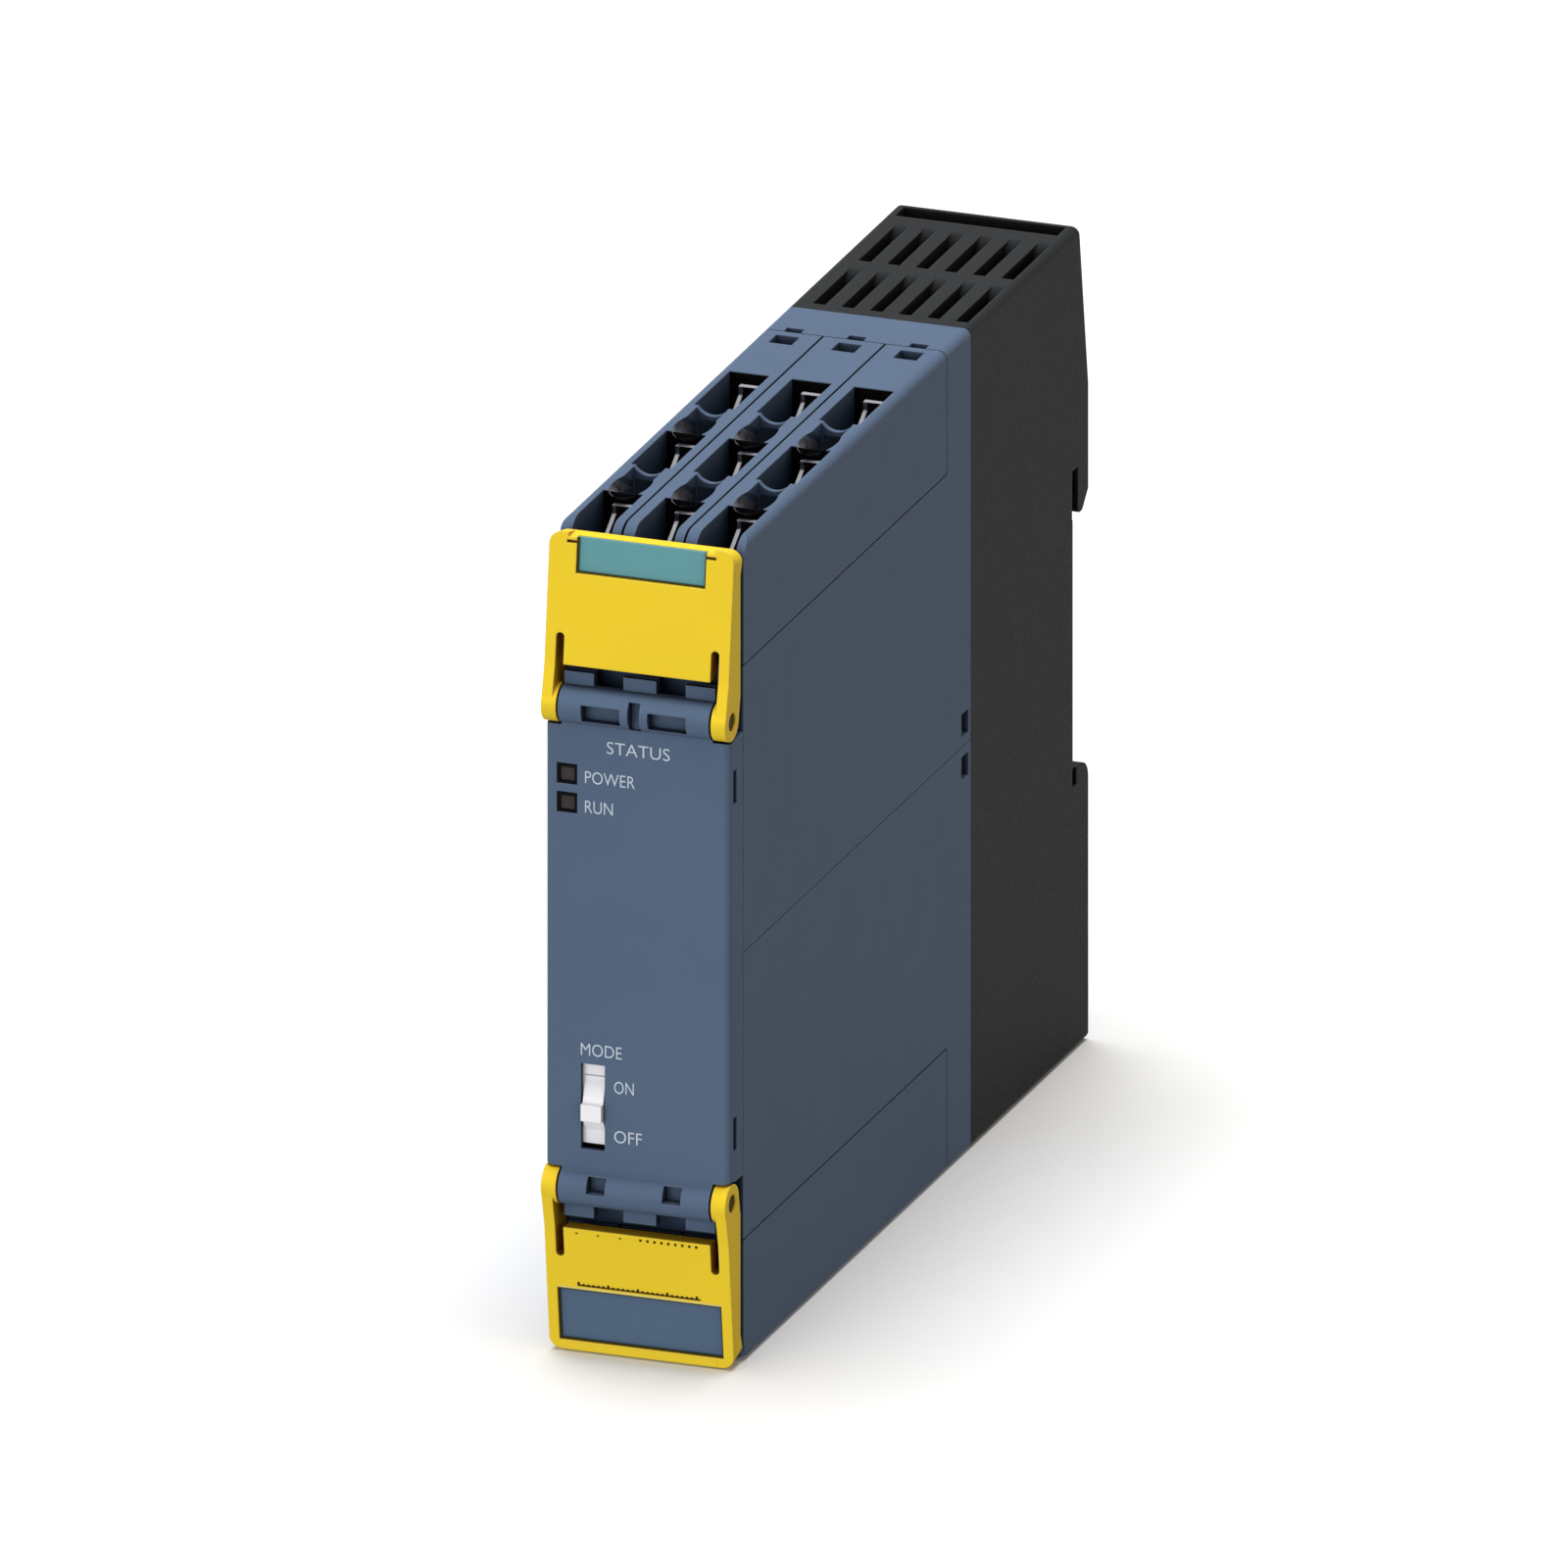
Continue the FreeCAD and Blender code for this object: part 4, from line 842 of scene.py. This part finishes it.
# %% Painted well shade and tab highlights
# a pale grey film that paints the highlight on each tab's upper edge
painted_tab_highlight = film_finish("painted_tab_highlight", (0.36, 0.36, 0.41), 0.4, 0.02)
well_pitch, rows_per_block = 21.15, 3
well_half, well_floor, well_rim = 2.42, 89.5, 99.9
wall_behind_cage = 0.6                      # from the cages' box to the rear well's back wall
tab_width, tab_sheet, tab_setback = 3.0, 0.8, 1.15
tab_top, cage_top, guide_sheet = 99.0, 94.5, 0.5
film = 0.02


def mirrored(z0, z1, side):
    """Two heights as they are, or their mirror image on the lower side."""
    return (z0, z1) if side > 0 else (2 * middle_height - z1, 2 * middle_height - z0)


def paint_well_shade_and_tab_highlights(block):
    """Painted shade sheets and painted highlight edges in one block's wells."""
    cage_high = box_in_mm("%s_clamps_%d" % (block.half, block.count))[1]
    tab_left, tab_right = cage_high.x - tab_width, cage_high.x
    dark, bright = bmesh.new(), bmesh.new()
    for row in range(rows_per_block):
        wall_y = cage_high.y + wall_behind_cage - row * well_pitch
        wall = upright_face(wall_y)
        tab = upright_face(wall_y - tab_setback - tab_sheet)
        add_bar(dark, wall, block.middle - well_half, block.middle + well_half,
                *mirrored(well_floor, well_rim, block.side), film, film)
        add_bar(dark, tab, tab_left + guide_sheet, tab_right,
                *mirrored(cage_top, tab_top, block.side), film, film)
        add_bar(bright, tab, tab_left, tab_right,
                *mirrored(tab_top - film, tab_top + film, block.side), film, tab_sheet)
    name = "%s_%d" % (block.half, block.count)
    # the dark sheets are painted shade, and the pale plates are painted highlights
    ride_trim(name + "_painted_well_shade", dark, finishes["window_black"], block.body)
    ride_trim(name + "_painted_tab_highlights", bright, painted_tab_highlight, block.body)


for block in blocks:
    paint_well_shade_and_tab_highlights(block)
print("dressed wells:", len(blocks) * rows_per_block)

# %% [markdown]
# ## Pin ends
#
# The covers turn on pins whose ends show inside the ears' bores. They lie in the bores' shade, so each
# gets a flat dark disc of painted shade, a hair proud of the pin's end face and still inside the bore.

# %% Pin ends
pin_x, pin_y, pin_radius = 11.055, -58.5, 1.04
pin_heights = (79.35, 20.65)
disc_corners = 32
painted_pin_shade = bmesh.new()
for z in pin_heights:
    for side in (-1, 1):
        disc = bmesh.ops.create_circle(painted_pin_shade, cap_ends=True, radius=pin_radius,
                                       segments=disc_corners)["verts"]
        outward = Matrix.Rotation(side * math.radians(90), 4, "Y")
        bmesh.ops.transform(painted_pin_shade, matrix=outward, verts=disc)
        bmesh.ops.translate(painted_pin_shade, vec=(side * pin_x, pin_y, z), verts=disc)
# dark discs of painted shade in the bores
ride_trim("painted_pin_shade", painted_pin_shade, outline, "housing")
print("pin ends at x", pin_x)

# %% [markdown]
# ## Floor
#
# The module stands on a pale floor that runs out of the picture and takes its soft shadow. The floor
# throws no light and no shadow of its own, so that it isn't a second sun under the module. Its lower
# side is clear, so that the module can be seen from below, and it lies a hundredth of a millimetre
# below the module's feet.

# %% Floor
floor_half_size = 3.0
floor_gap = 0.01 * MM
floor_white = 0.82
floor_mesh = bmesh.new()
bmesh.ops.create_grid(floor_mesh, x_segments=1, y_segments=1, size=floor_half_size)
bmesh.ops.translate(floor_mesh, vec=(0, 0, -floor_gap), verts=floor_mesh.verts)
floor_data = bpy.data.meshes.new("floor")
floor_mesh.to_mesh(floor_data)
floor_mesh.free()
floor = bpy.data.objects.new("floor", floor_data)
scene.collection.objects.link(floor)
floor.visible_shadow = False        # the lamps shine through it
floor.visible_diffuse = False       # the sky lights the underside through it

floor_material = bpy.data.materials.new("floor")
floor_material.use_nodes = True
floor_tree = floor_material.node_tree
floor_tree.nodes.clear()
floor_out = add_node(floor_tree, "ShaderNodeOutputMaterial")
floor_top = add_node(floor_tree, "ShaderNodeBsdfDiffuse")
put(floor_top, Color=colour(floor_white, floor_white, floor_white))
floor_under = add_node(floor_tree, "ShaderNodeBsdfTransparent")
floor_side = add_node(floor_tree, "ShaderNodeNewGeometry")
floor_sides = add_node(floor_tree, "ShaderNodeMixShader")
wire(floor_tree, floor_side.outputs["Backfacing"], floor_sides.inputs["Fac"])
wire(floor_tree, floor_top.outputs["BSDF"], floor_sides.inputs[1])
wire(floor_tree, floor_under.outputs["BSDF"], floor_sides.inputs[2])
wire(floor_tree, floor_sides.outputs["Shader"], floor_out.inputs["Surface"])
floor_data.materials.append(floor_material)
print("floor tone", floor_white)

# %% [markdown]
# ## Sky
#
# The sky is white where the camera sees it, and in reflections and through glass. For everything else
# it is a dim even light. The Light Path node tells the two kinds of ray apart.

# %% Sky
sky_strength, background_strength = 0.22, 1.0


def sees_background(tree):
    """1 for rays from the camera, and for those that show it a reflection or a view through glass."""
    path = add_node(tree, "ShaderNodeLightPath")
    direct = add_node(tree, "ShaderNodeMath", operation="MAXIMUM")
    either = add_node(tree, "ShaderNodeMath", operation="MAXIMUM")
    wire(tree, path.outputs["Is Camera Ray"], direct.inputs[0])
    wire(tree, path.outputs["Is Glossy Ray"], direct.inputs[1])
    wire(tree, direct.outputs["Value"], either.inputs[0])
    wire(tree, path.outputs["Is Transmission Ray"], either.inputs[1])
    return either.outputs["Value"]


sky = bpy.data.worlds.new("studio")
sky.use_nodes = True
scene.world = sky
sky_tree = sky.node_tree
sky_light = sky_tree.nodes["Background"]
sky_level = add_node(sky_tree, "ShaderNodeMapRange")
put(sky_level, To_Min=sky_strength, To_Max=background_strength)
wire(sky_tree, sees_background(sky_tree), sky_level.inputs["Value"])
wire(sky_tree, sky_level.outputs["Result"], sky_light.inputs["Strength"])
put(sky_light, Color=colour(1, 1, 1))
print("sky gives", sky_strength, "and shows", background_strength)

# %% [markdown]
# ## Lamps
#
# Four broad lamps give each side of the module its own level: a strong one overhead, one in front, a
# weak warm one on the right and a weak one behind for the far sides. They are sun lamps with a wide
# angle, so that their light is the same everywhere and their shadows are soft.

# %% Lamps
lamp_distance = 0.5                 # only for finding them in the viewport


def broad_lamp(name, towards, level, spread, tint=(1, 1, 1)):
    """A distant soft lamp: towards points from the module to it, level is what a facing white shows."""
    data = bpy.data.lights.new(name, "SUN")
    data.energy = level * math.pi
    data.color = tint
    data.angle = math.radians(spread)
    lamp = bpy.data.objects.new(name, data)
    scene.collection.objects.link(lamp)
    direction = Vector(towards).normalized()
    lamp.rotation_mode = "QUATERNION"
    lamp.rotation_quaternion = direction.to_track_quat("Z", "Y")
    lamp.location = direction * lamp_distance
    lamp.visible_glossy = False         # reflections show the bright background, not the lamps
    return lamp


lamps = [
    broad_lamp("top", (-0.04, 0.06, 0.98), 1.03, 40),
    broad_lamp("front", (-0.20, -0.96, 0.04), 0.67, 50),
    broad_lamp("right", (0.90, 0.00, 0.35), 0.16, 50, tint=(1.0, 0.80, 0.58)),
    broad_lamp("back", (-0.75, 0.60, 0.20), 0.30, 60),
]
print("lamps:", [lamp.name for lamp in lamps])

# %% [markdown]
# ## Colour management
#
# The Standard view transform shows a colour as it is written, which makes it easy to check a material
# against its real dye.

# %% View transform
scene.view_settings.view_transform = "Standard"
print("view transform:", scene.view_settings.view_transform)
